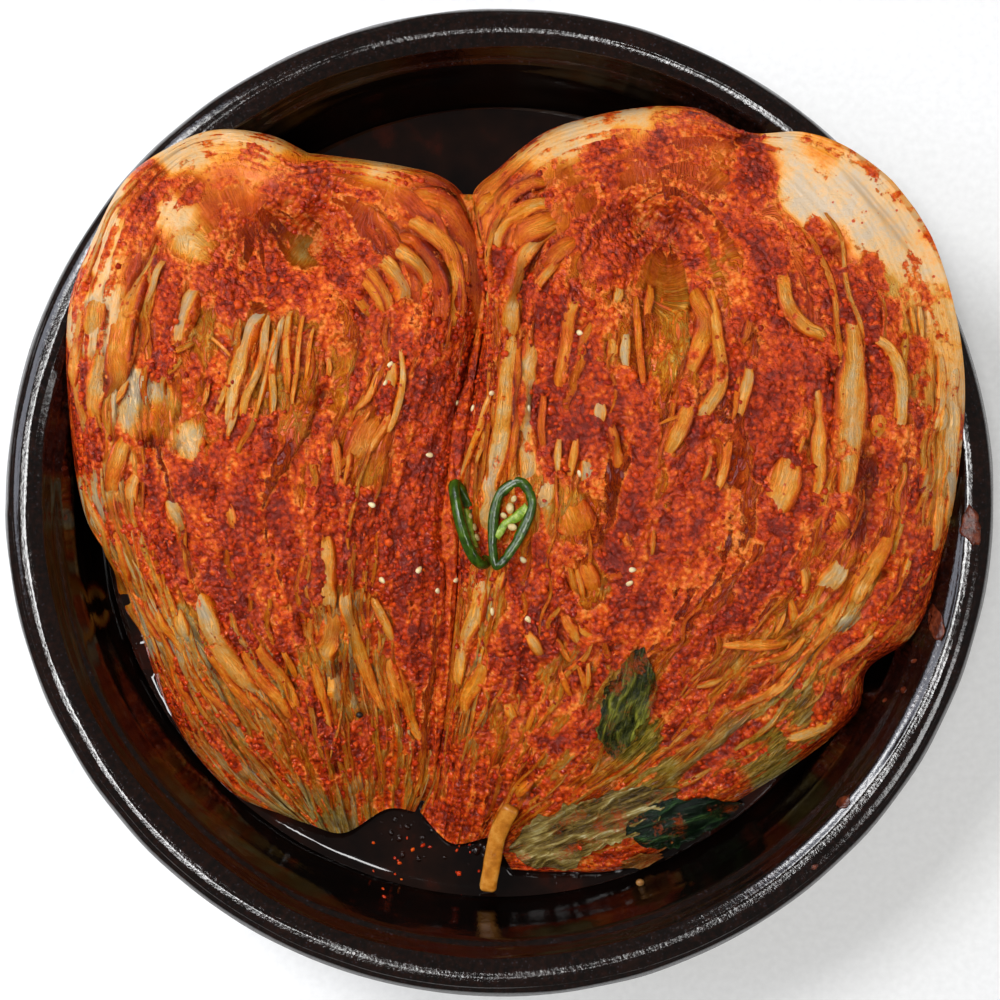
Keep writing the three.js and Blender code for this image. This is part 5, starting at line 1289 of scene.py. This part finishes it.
def basin():
    """The thrown basin: turning rings inside and out, and a rim a little out of true."""
    soft = through(OUTSIDE + CREST + INSIDE, np.linspace(0, 1, BASIN_STEPS))
    profile = np.vstack([UNDERNEATH, soft, WELL])
    points = turned(profile, BASIN_SIDES)
    x, y, height = np.moveaxis(points, -1, 0)
    angle, radius = np.arctan2(y, x), np.hypot(x, y)
    share = np.linspace(0, 1, len(profile))[:, None]
    free = ease(4, 12, height) * ease(120, 140, radius)
    ring = 0.3 * np.sin(share * 150) + 0.35 * drift(share * 46, angle * 0.6, 61)
    dent = 0.5 * drift(angle * 3, share * 9, 62) + 0.25 * drift(angle * 11, share * 30, 63)
    points[..., :2] *= (1 + free * (ring + dent) / np.maximum(radius, 1))[..., None]
    upper = ease(61, 66, height)
    # Patches round the rim where the painted sheen specks lie
    sheen_patches = ease(0.35, 0.7, drift(angle * 1.7, 0, 64))
    ware = Batch().add(points, [grid_faces(len(profile), BASIN_SIDES, ring=True)],
                       thin=(0.35 * upper + 0.4 * ease(0, 6, 9 - height)).ravel(),
                       rim=(upper * (0.45 + 0.4 * sheen_patches)).ravel())
    ware.make("basin_ware", GLAZE, "glazed_earthenware", ["basin"])
    return tree_of(ware.mesh())


basin_tree = basin()

# ---------------------------------------------------------------- the brine

POOL_RINGS, POOL_SIDES = 28, 720
MENISCUS, MENISCUS_REACH, FAR = 1.3, 1.4, 9.0
# Brine that has run up the wall: x, y, reach
SWASH = [(-158, -28, 22), (-150, -50, 9), (-145, -64, 7)]
# The pool's side and bottom below its surface: radius, height
POOL_SIDE = [(162.1, 26.7), (160.6, 24.4), (156.6, 19.3), (147.6, 14.3), (134, 11.4)]


def shore():
    """How far out the halves reach at the level of the brine, all the way round."""
    reach = []
    for turn in round_turn(POOL_SIDES):
        out = Vector((math.cos(turn), math.sin(turn), 0))
        start = out * WALL_AT_BRINE + Vector((0, 0, BRINE_LEVEL))
        hit, _, _, apart = heap_tree.ray_cast(start, -out)
        reach.append(WALL_AT_BRINE - 1.5 - apart if hit else 90.0)
    return np.clip(reach, 60, WALL_AT_BRINE - 3)


def brine():
    """The pool of brine, which climbs a little where it meets the wall and the leaves."""
    angle, inner = round_turn(POOL_SIDES), shore()
    step = 0.5 - 0.5 * np.cos(np.linspace(0, math.pi, POOL_RINGS))
    radius = inner + (WALL_AT_BRINE - 0.35 - inner) * step[:, None]
    radius = np.vstack([inner * 0.3, inner * 0.7, radius])
    x, y = radius * np.cos(angle), radius * np.sin(angle)
    near = [heap_tree.find_nearest(Vector((*place, BRINE_LEVEL)), FAR)[3]
            for place in zip(x.flat, y.flat)]
    apart = np.array([FAR if gap is None else gap for gap in near]).reshape(x.shape)
    climb = MENISCUS * np.exp(-apart / MENISCUS_REACH)
    for east, north, reach in SWASH:
        ragged = 0.25 * drifts(x / 6, y / 6, 73, 2)
        within = ease(1, 0.75, np.hypot(x - east, y - north) / reach + ragged)
        climb = np.maximum(climb, within * np.clip(0.09 * (radius - 150), 0, 1.2))
    wall = MENISCUS * np.exp((radius - WALL_AT_BRINE) / MENISCUS_REACH)
    surface = BRINE_LEVEL + np.minimum(2 * MENISCUS, climb + wall) + 0.05 * drift(x / 9, y / 9, 71)
    rings = np.concatenate([joined(x, y, surface), turned(POOL_SIDE, POOL_SIDES)])
    points = np.vstack([rings.reshape(-1, 3), [(0, 0, BRINE_LEVEL), (0, 0, POOL_SIDE[-1][1])]])
    first = np.arange(POOL_SIDES)
    last = (len(rings) - 1) * POOL_SIDES + first
    groups = [grid_faces(len(rings), POOL_SIDES, ring=True)[:, ::-1],
              joined(np.roll(first, -1), len(points) - 2, first),
              joined(last, len(points) - 1, np.roll(last, -1))]
    oil = 0.35 * drifts(points[:, 0] / 30, points[:, 1] / 30, 72)
    make_piece("brine_pool", points, groups, dict(oil=oil), BRINE, "brine", ["brine"])


brine()

# ---------------------------------------------------------------- chilli slices

CHILLI_SKIN = soft_flesh("green_chilli_skin", [(0.3, "#182804"), (0.5, "#2c4609"),
                                               (0.72, "#4a6612")], 3, 0.17, 0.25, 0.05)
CHILLI_PITH = soft_flesh("green_chilli_pith", [(0.3, "#58781a"), (0.5, "#84a02e"),
                                               (0.72, "#b4be60")], 2, 0.2, 0.5, 0.1)
SEED_COAT = soft_flesh("chilli_seed", [(0.3, "#a88c48"), (0.7, "#d6c08a")], 2, 0.35, 0.05, 0.2)
SLICE_LONG, SLICE_WIDE, SLICE_WALL, SLICE_SIDES = 36.0, 16.0, 3.7, 80
# How far in from the skin and how high, as shares of the wall and of half the thickness
WALL_SECTION = [(0.2, -1.0), (0, -0.6), (0, 0.6), (0.2, 1.0), (0.75, 0.9), (1, 0.5), (1, -0.5),
                (0.75, -0.9)]
# Up and out, as shares
PITH_SECTION = [(-1, -1), (-1, 1), (0.4, 1.1), (1, 0.4), (1, -0.4), (0.4, -1.1)]
PITH_STEPS = 24
OVAL_ROWS, OVAL_COLUMNS = 6, 10
OVAL_FACES = tube_faces(OVAL_ROWS, OVAL_COLUMNS)


def oval_lump(long, wide, tall, turn=0.0, point=0.0):
    """A seed-shaped body round the origin; point draws one end out."""
    height = np.cos(np.linspace(0.93, 0.07, OVAL_ROWS) * math.pi)[:, None]
    flat = np.sqrt(1 - height**2)
    x, y = flat * np.cos(round_turn(OVAL_COLUMNS)), flat * np.sin(round_turn(OVAL_COLUMNS))
    return joined(*spun(x * long / 2, y * wide / 2 * (1 - point * x), turn), height * tall / 2)


def chilli_slice(node, lean, heading, seed, thick, point, lift, septum, seeds_at):
    """A slanting slice of green chilli: its wall, the pith across it and the seeds on the pith."""
    low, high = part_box(node)
    centre = (np.array(low) + np.array(high)) / 2 / MM + (0, 0, lift)

    def laid(points):
        """Leans the slice over, turns it and puts it in its place."""
        x, y, z = np.moveaxis(points, -1, 0)
        y, z = spun(y, z, math.radians(lean))
        return joined(*spun(x, y, math.radians(heading)), z) + centre

    right, up = np.cos(round_turn(SLICE_SIDES)), np.sin(round_turn(SLICE_SIDES))
    bumpy = 1 + 0.03 * drift(right * 2.2, up * 2.2, seed)
    uneven = 1 + 0.12 * drift(right * 5, up * 5, seed)
    rings = []
    for inset, height in WALL_SECTION:
        inner = SLICE_WALL * inset * uneven
        long, wide = SLICE_LONG / 2 - inner * 1.1, SLICE_WIDE / 2 * (1 - 0.42 * point * right) - inner
        rings.append(joined(long * right * bumpy, wide * up * bumpy, height * thick / 2))
    closed = grid_faces(len(rings) + 1, SLICE_SIDES, ring=True) % (len(rings) * SLICE_SIDES)
    wall = Batch().add(laid(np.stack(rings)), [closed])
    span = np.linspace(0, 1, PITH_STEPS)[:, None]
    start, end = np.array(septum, float)
    across = np.array((start[1] - end[1], end[0] - start[0])) / np.linalg.norm(end - start)
    middle = start * (1 - span) + end * span + across * 1.1 * drift(span * 3, seed, 4)
    cross = []
    for rise, out in PITH_SECTION:
        wide = out * (1.6 + 0.7 * drift(span * 5, seed + out, 6) + 0.9 * (2 * span - 1) ** 4)
        tall = rise * (0.9 + 0.3 * drift(span[:, 0] * 6, rise, seed))
        cross.append(np.column_stack([middle + across * wide, tall]))
    pith = Batch().add(laid(np.stack(cross, 1)), tube_faces(PITH_STEPS, len(PITH_SECTION)))
    seeds = Batch()
    for k, (x, y, long, wide) in enumerate(seeds_at):
        seeds.add(laid(oval_lump(long, wide, 1.3, k * 1.3 + seed) + (x, y, 0.9)), OVAL_FACES)
    wall.make(node + "_wall", CHILLI_SKIN, "green_chilli", [node])
    pith.make(node + "_pith", CHILLI_PITH, "green_chilli")
    seeds.make(node + "_seeds", SEED_COAT, "green_chilli")


chilli_slice("chilli_slice_left", 62, 110, 81, 4.2, 0.75, 1.2, [(6, -2), (-9, 1.5)],
             [(-1.5, -1.5, 3.2, 2.6), (-5.5, -0.6, 3.4, 2.6), (3, -1.2, 2.6, 2.2)])
chilli_slice("chilli_slice_right", -12, 74, 82, 2.8, -0.8, 1.7, [(8.5, -4.6), (-5.5, 4.2)],
             [(5.7, 1.0, 4.4, 3.2), (-0.9, -1.8, 3.8, 2.8), (9.5, 0.6, 2.8, 2.2), (2.4, 2.6, 2.8, 2.2)])

# ---------------------------------------------------------------- seeds, radish, scraps, froth

dressed_tree = tree_of(*(bodies[side][:2] for side in HALVES),
                       *(batch.mesh() for batch in (*strips.values(), *finer.values(), seam)))

SESAME = [(-42, 53), (-44, 46), (-16, 38), (-27, 18), (-49, -1), (-31, -26), (-17, -30), (-24, -34),
          (-45, -30), (-10, 36), (-3, 42), (31, 65), (11, 36), (31, 11), (9, -22), (51, -26),
          (50, -31), (-3, -42), (11, -45)]
SEED_LONG, SEED_WIDE, SEED_THICK = 3.2, 2.1, 1.3


def sesame():
    seeds = Batch()
    for k, (x, y) in enumerate(SESAME):
        seat, up = seen(x, y, dressed_tree, basin_tree)
        lean = np.array(Vector(up).to_track_quat("Z", "Y").to_matrix())
        shape = oval_lump(SEED_LONG, SEED_WIDE, SEED_THICK, 2.4 * k, point=0.28)
        shape = shape.reshape(-1, 3) * chance.uniform(0.94, 1.05)
        seeds.add(shape @ lean.T + seat + up * 0.35, OVAL_FACES)
    coat = soft_flesh("roasted_sesame", [(0.3, "#cfa868"), (0.5, "#e6cf9c"), (0.75, "#f2e2bd")],
                      2.5, 0.35, 0.06, 0.2)
    seeds.make("sesame_seeds", coat)


sesame()

# Plan x, plan y, height
RADISH_POINTS = [(5, -117, 43), (0, -126, 39.5), (-2, -134, 37), (-3.6, -143, 34), (-4.6, -149, 32)]
RADISH_WIDE, RADISH_THICK, RADISH_STEPS, RADISH_SIDES = 7.0, 4.2, 46, 24


def radish_strip():
    place, length = evenly_along([settle((x, y), z) for x, y, z in RADISH_POINTS])
    share = np.linspace(0, 1, RADISH_STEPS)
    middle = place(share)[:, None]
    ahead = unit(np.gradient(middle[:, 0], axis=0))
    side = unit(np.cross(ahead, (0, 0, 1)))
    up = np.cross(side, ahead)
    angle = round_turn(RADISH_SIDES)
    flat, tall = np.cos(angle), np.sin(angle)
    box = 1 / np.maximum(np.abs(flat) ** 5 + np.abs(tall) ** 5, 0.2) ** 0.2
    end = np.minimum(1, np.minimum(share, 1 - share) * length / 1.6)
    scale = (0.72 + 0.28 * np.sqrt(end))[:, None]
    worn = 1 + 0.09 * drifts(share[:, None] * length / 5, angle * 1.1, 91, 2)
    out = flat * box * RADISH_WIDE / 2 * scale * worn
    rise = tall * box * RADISH_THICK / 2 * scale * worn
    tube = middle + side[:, None] * out[..., None] + up[:, None] * rise[..., None]
    flesh = soft_flesh("salted_radish", [(0.3, "#8f4d0c"), (0.5, "#bb7420"), (0.72, "#d89a44")],
                       6, 0.25, 0.15, 0.25)
    baton = Batch().add(tube, tube_faces(RADISH_STEPS, RADISH_SIDES))
    baton.make("radish_baton", flesh, "radish", ["radish_strip"])


radish_strip()

# Plan x, plan y, length, width, heading, seed
SCRAPS = [(167.6, -46.8, 13, 6.5, 100, 1), (181, -9, 15, 8, 95, 2), (132, -115, 6, 4, 50, 3),
          (-167, 13, 2.6, 1.8, 20, 4), (-166.6, -6, 2.2, 1.6, 60, 5), (159, -61, 2.4, 1.6, 10, 6),
          (155, -72, 2.8, 1.8, 70, 7), (148, -76, 2.2, 1.5, 30, 8), (121, -140, 3.0, 1.8, 40, 9)]
SCRAP_ROWS, SCRAP_COLUMNS, SCRAP_THICK = 11, 9, 0.5


def chilli_scraps():
    """Scraps of chilli skin that have stuck to the basin's wall, each a thin curled flake."""
    scraps = Batch()
    u, v = np.meshgrid(np.linspace(-1, 1, SCRAP_ROWS), np.linspace(-1, 1, SCRAP_COLUMNS),
                       indexing="ij")
    for x, y, long, wide, heading, seed in SCRAPS:
        torn = 1 + 0.3 * drifts(np.arctan2(v, u) * 1.6, seed, 110, 2)
        flat = spun(u * np.sqrt(1 - v**2 / 2) * torn * long / 2,
                    v * np.sqrt(1 - u**2 / 2) * torn * wide / 2, math.radians(heading))
        plan = (joined(*flat) + (x, y)).reshape(-1, 2)
        seats = np.array([seen(*place, basin_tree)[0] for place in plan]).reshape(*u.shape, 3)
        seats[..., 2] += 0.35 + 0.35 * drifts(u * 2, v * 2 + seed, 111, 2)
        ring = np.concatenate([seats, seats[:, ::-1] - (0, 0, SCRAP_THICK)], 1)
        scraps.add(ring, tube_faces(*ring.shape[:2]))
    dried = soft_flesh("chilli_skin_scrap", [(0.3, "#2c0e08"), (0.5, "#52200f"), (0.72, "#7a3a20")],
                       2, 0.3, 0.3, 0.05)
    scraps.make("chilli_skin_scraps", dried)


chilli_scraps()

# Froth and wavelets on the brine beside the leaves: plan x, plan y, reach, count
FROTH = [(-138, -64, 10, 26), (-33, -124, 16, 40), (-10, -131, 8, 14), (28, -144, 18, 16),
         (108, -108, 12, 8)]


def froth():
    """Low bubbles of brine that have gathered at the edges of the leaves."""
    bubbles = Batch()
    for x, y, reach, count in FROTH:
        for k in range(count):
            seat = settle(chance.normal((x, y), reach / 2), BRINE_LEVEL - 0.15)
            size = chance.uniform(0.9, 1.75) ** 2.2
            if heap_tree.find_nearest(Vector(seat), 0.4)[0] or np.hypot(*seat[:2]) > 161:
                continue
            bubbles.add(oval_lump(size * 1.3, size, 0.8 * size, k) + seat, OVAL_FACES, oil=0.1)
    bubbles.make("brine_froth", BRINE, "brine")


froth()

CRUMBS = [("peppercorn", -54, -81.4, 3.0, [(0.3, "#120c08"), (0.7, "#2c1e16")]),
          ("leaf_crumb", 54.3, -147, 3.6, [(0.3, "#7a4a20"), (0.7, "#b8884c")])]
GRAINS_AFLOAT = 26


def crumbs():
    """A peppercorn on the left half, crumbs of leaf and grains of chilli on the brine."""
    for name, x, y, size, stops in CRUMBS:
        seat, up = seen(x, y, dressed_tree, basin_tree)
        shape = oval_lump(size, size * 0.85, size * 0.8) + seat + up * size * 0.3
        flesh = soft_flesh(name + "_flesh", stops, 1.2, 0.35, 0.3, 0.05)
        Batch().add(shape, OVAL_FACES).make(name, flesh)
    plan = np.column_stack([chance.uniform(-52, -6, GRAINS_AFLOAT),
                            chance.uniform(-152, -128, GRAINS_AFLOAT)])
    seats = np.array([seen(*place, basin_tree)[0] for place in plan]) + (0, 0, 0.2)
    floating = scatter_lumps(seats, chance.uniform(0.8, 1.9, GRAINS_AFLOAT),
                             chance.uniform(0.1, 0.6, GRAINS_AFLOAT))
    floating.make("chilli_grains_afloat", PASTE)


crumbs()

# ---------------------------------------------------------------- loose leaves

LOOSE_LEAVES = {
    "olive_leaf": dict(
        midline=[(54, -57), (51, -72), (46, -85), (43, -97)],
        widths=[(0, 7), (0.35, 17), (0.8, 16), (1, 8)], ruffle=1.2, lift=2.0, slot="olive_leaf",
        oil=(0.25, 0.1), stops=[(0.2, "#14190a"), (0.38, "#2c3110"), (0.54, "#505018"),
                                (0.68, "#7c7c26"), (0.85, "#a4a23c")]),
    "pale_green_leaf": dict(
        midline=[(68, -112), (44, -121), (22, -130), (6, -135)],
        widths=[(0, 7), (0.3, 19), (0.75, 22), (1, 13)], ruffle=1.3, lift=2.2, slot="pale_leaf",
        oil=(0.14, 0.1), stops=[(0.2, "#2c1e08"), (0.38, "#5a4418"), (0.54, "#846c30"),
                                (0.68, "#a8965a"), (0.85, "#d2caa4")]),
    "dark_green_leaf": dict(
        midline=[(92, -117), (78, -120), (64, -124), (51, -128.5)],
        widths=[(0, 5), (0.25, 11), (0.65, 20), (1, 15)], ruffle=1.2, lift=3.4, slot="dark_leaf",
        oil=(0.12, 0.0), stops=[(0.2, "#050c06"), (0.4, "#0d1c0e"), (0.56, "#183018"),
                                (0.7, "#2c4a22"), (0.86, "#58703a")]),
    "tan_leaf_scrap": dict(
        midline=[(47, -139.5), (55, -138), (62, -136)],
        widths=[(0, 4), (0.5, 6.5), (1, 3)], ruffle=0.6, lift=2.4, slot="tan_leaf",
        oil=(0.2, 0.2), stops=[(0.2, "#5a2c0c"), (0.45, "#98601e"), (0.65, "#b98440"),
                               (0.85, "#cfa468")]),
}
LEAF_SIDES, LEAF_STEP = 44, 0.5


def loose_leaf(node, midline, widths, ruffle, lift, slot, oil, stops):
    """A limp crumpled leaf: veins and folds run along it, and its edges are ragged."""
    place, length = evenly_along(midline)
    share = np.linspace(0, 1, int(length / LEAF_STEP) + 8)
    centre = place(share)
    ahead = unit(np.gradient(centre, axis=0))
    right = joined(ahead[:, 1], -ahead[:, 0])
    seed = sum(ord(letter) for letter in node)
    t, u = np.meshgrid(share * length, np.linspace(-1, 1, LEAF_SIDES + 1), indexing="ij")
    tip = np.minimum(1, np.minimum(t, length - t) / 7) ** 0.5
    edge = 1 + 0.2 * drifts(t / 6, u + seed, 3, 2) + 0.1 * drift(t / 1.6, u + seed, 4)
    half = along_keys(widths, share)[:, None] / 2 * edge * (0.45 + 0.55 * tip)
    torn = 2.6 * drifts(u * 2.6, seed, 6, 2) * (2 * share[:, None] - 1) ** 3
    across = half * u
    plan = centre[:, None] + right[:, None] * across[..., None] + ahead[:, None] * torn[..., None]
    rest = [seen(x, y, dressed_tree, basin_tree)[0][2] for x, y in plan.reshape(-1, 2)]
    rest = smoothed(smoothed(np.reshape(rest, t.shape), 5).T, 4).T
    sway = 1.1 * drifts(t / 11, across / 7, seed, 2)
    folds = crease(across / 3.6 + sway, t / 22, seed + 1)
    wrinkles = crease(across / 1.7 + 1.5 * sway, t / 6, seed + 2)
    wave = ruffle * np.abs(u) ** 1.5 * np.sin(0.42 * t + 1.9 * u)
    z = rest + lift + 0.4 * ruffle + wave + 2.0 * (folds - 0.5) + 0.8 * (wrinkles - 0.5)
    upper = settle(plan, z)
    lower = upper - joined(0, 0, 0.35 + 0.5 * np.minimum(1, (1 - np.abs(u)) / 0.12))
    ring = np.concatenate([upper, lower[:, ::-1]], 1)
    stain = oil[0] + (oil[1] - oil[0]) * share[:, None]
    # The crest mark: crests of the folds and wrinkles, which the material paints paler (painted
    # highlight)
    looks = dict(crest=0.65 * folds + 0.35 * wrinkles, flow=joined(t + 9 * folds, across, 0),
                 oil=stain + 0.5 * drifts(t / 8, across / 5, seed + 9, 2))
    marks = {key: np.concatenate([value, value[:, ::-1]], 1).reshape(-1, *value.shape[2:])
             for key, value in looks.items()}
    leaf = Batch().add(ring, tube_faces(*ring.shape[:2], flip=True), **marks)
    leaf.make(node + "_blade", wilted_leaf("wilted_" + node, stops), slot, [node])


for node, leaf in LOOSE_LEAVES.items():
    loose_leaf(node, **leaf)

# ---------------------------------------------------------------- stage, lights, camera

FLOOR_REACH = 3
floor = bpy.data.objects.new("floor", bpy.data.meshes.new("floor"))
floor.data.from_pydata([(-FLOOR_REACH, -FLOOR_REACH, 0), (FLOOR_REACH, -FLOOR_REACH, 0),
                        (FLOOR_REACH, FLOOR_REACH, 0), (-FLOOR_REACH, FLOOR_REACH, 0)],
                       [], [(0, 1, 2, 3)])
floor.data.materials.append(matt_board())
bpy.context.scene.collection.objects.link(floor)


def soft_light(name, place, aim, size, watts, colour="#ffffff"):
    lamp = bpy.data.lights.new(name, "AREA")
    lamp.shape, lamp.size, lamp.size_y, lamp.energy = "RECTANGLE", *size, watts
    lamp.color = linear(colour)[:3]
    light = bpy.data.objects.new(name, lamp)
    light.location = place
    light.rotation_euler = (Vector(aim) - Vector(place)).to_track_quat("-Z", "Y").to_euler()
    bpy.context.scene.collection.objects.link(light)


soft_light("window_light", (-0.95, 0.4, 1.0), (0, 0, 0), (1.1, 0.5), 7.5, "#e8eeff")
soft_light("key_light", (-0.62, 0.5, 1.15), (0, 0, 0), (0.35, 0.35), 8)
soft_light("ceiling_light", (-0.42, -0.12, 2.6), (0, 0, 0), (0.7, 0.45), 28)
soft_light("fill_light", (0.85, -0.45, 1.2), (0, 0, 0), (0.35, 0.35), 3.5)

world = bpy.data.worlds.new("soft_room")
world.use_nodes = True
world.node_tree.nodes["Background"].inputs["Color"].default_value = linear("#f5f3f0")
world.node_tree.nodes["Background"].inputs["Strength"].default_value = 0.16
bpy.context.scene.world = world
bpy.context.scene.view_settings.view_transform = "Standard"

CAMERA_HEIGHT = APEX_HEIGHT * MM
RIM_ACROSS = 0.384  # width of the view at the rim's height
camera = bpy.data.objects.new("camera", bpy.data.cameras.new("camera"))
camera.location = (0.0002, 0.0008, CAMERA_HEIGHT)
camera.data.lens = camera.data.sensor_width * (CAMERA_HEIGHT - PLAN_HEIGHT * MM) / RIM_ACROSS
bpy.context.scene.collection.objects.link(camera)
bpy.context.scene.camera = camera
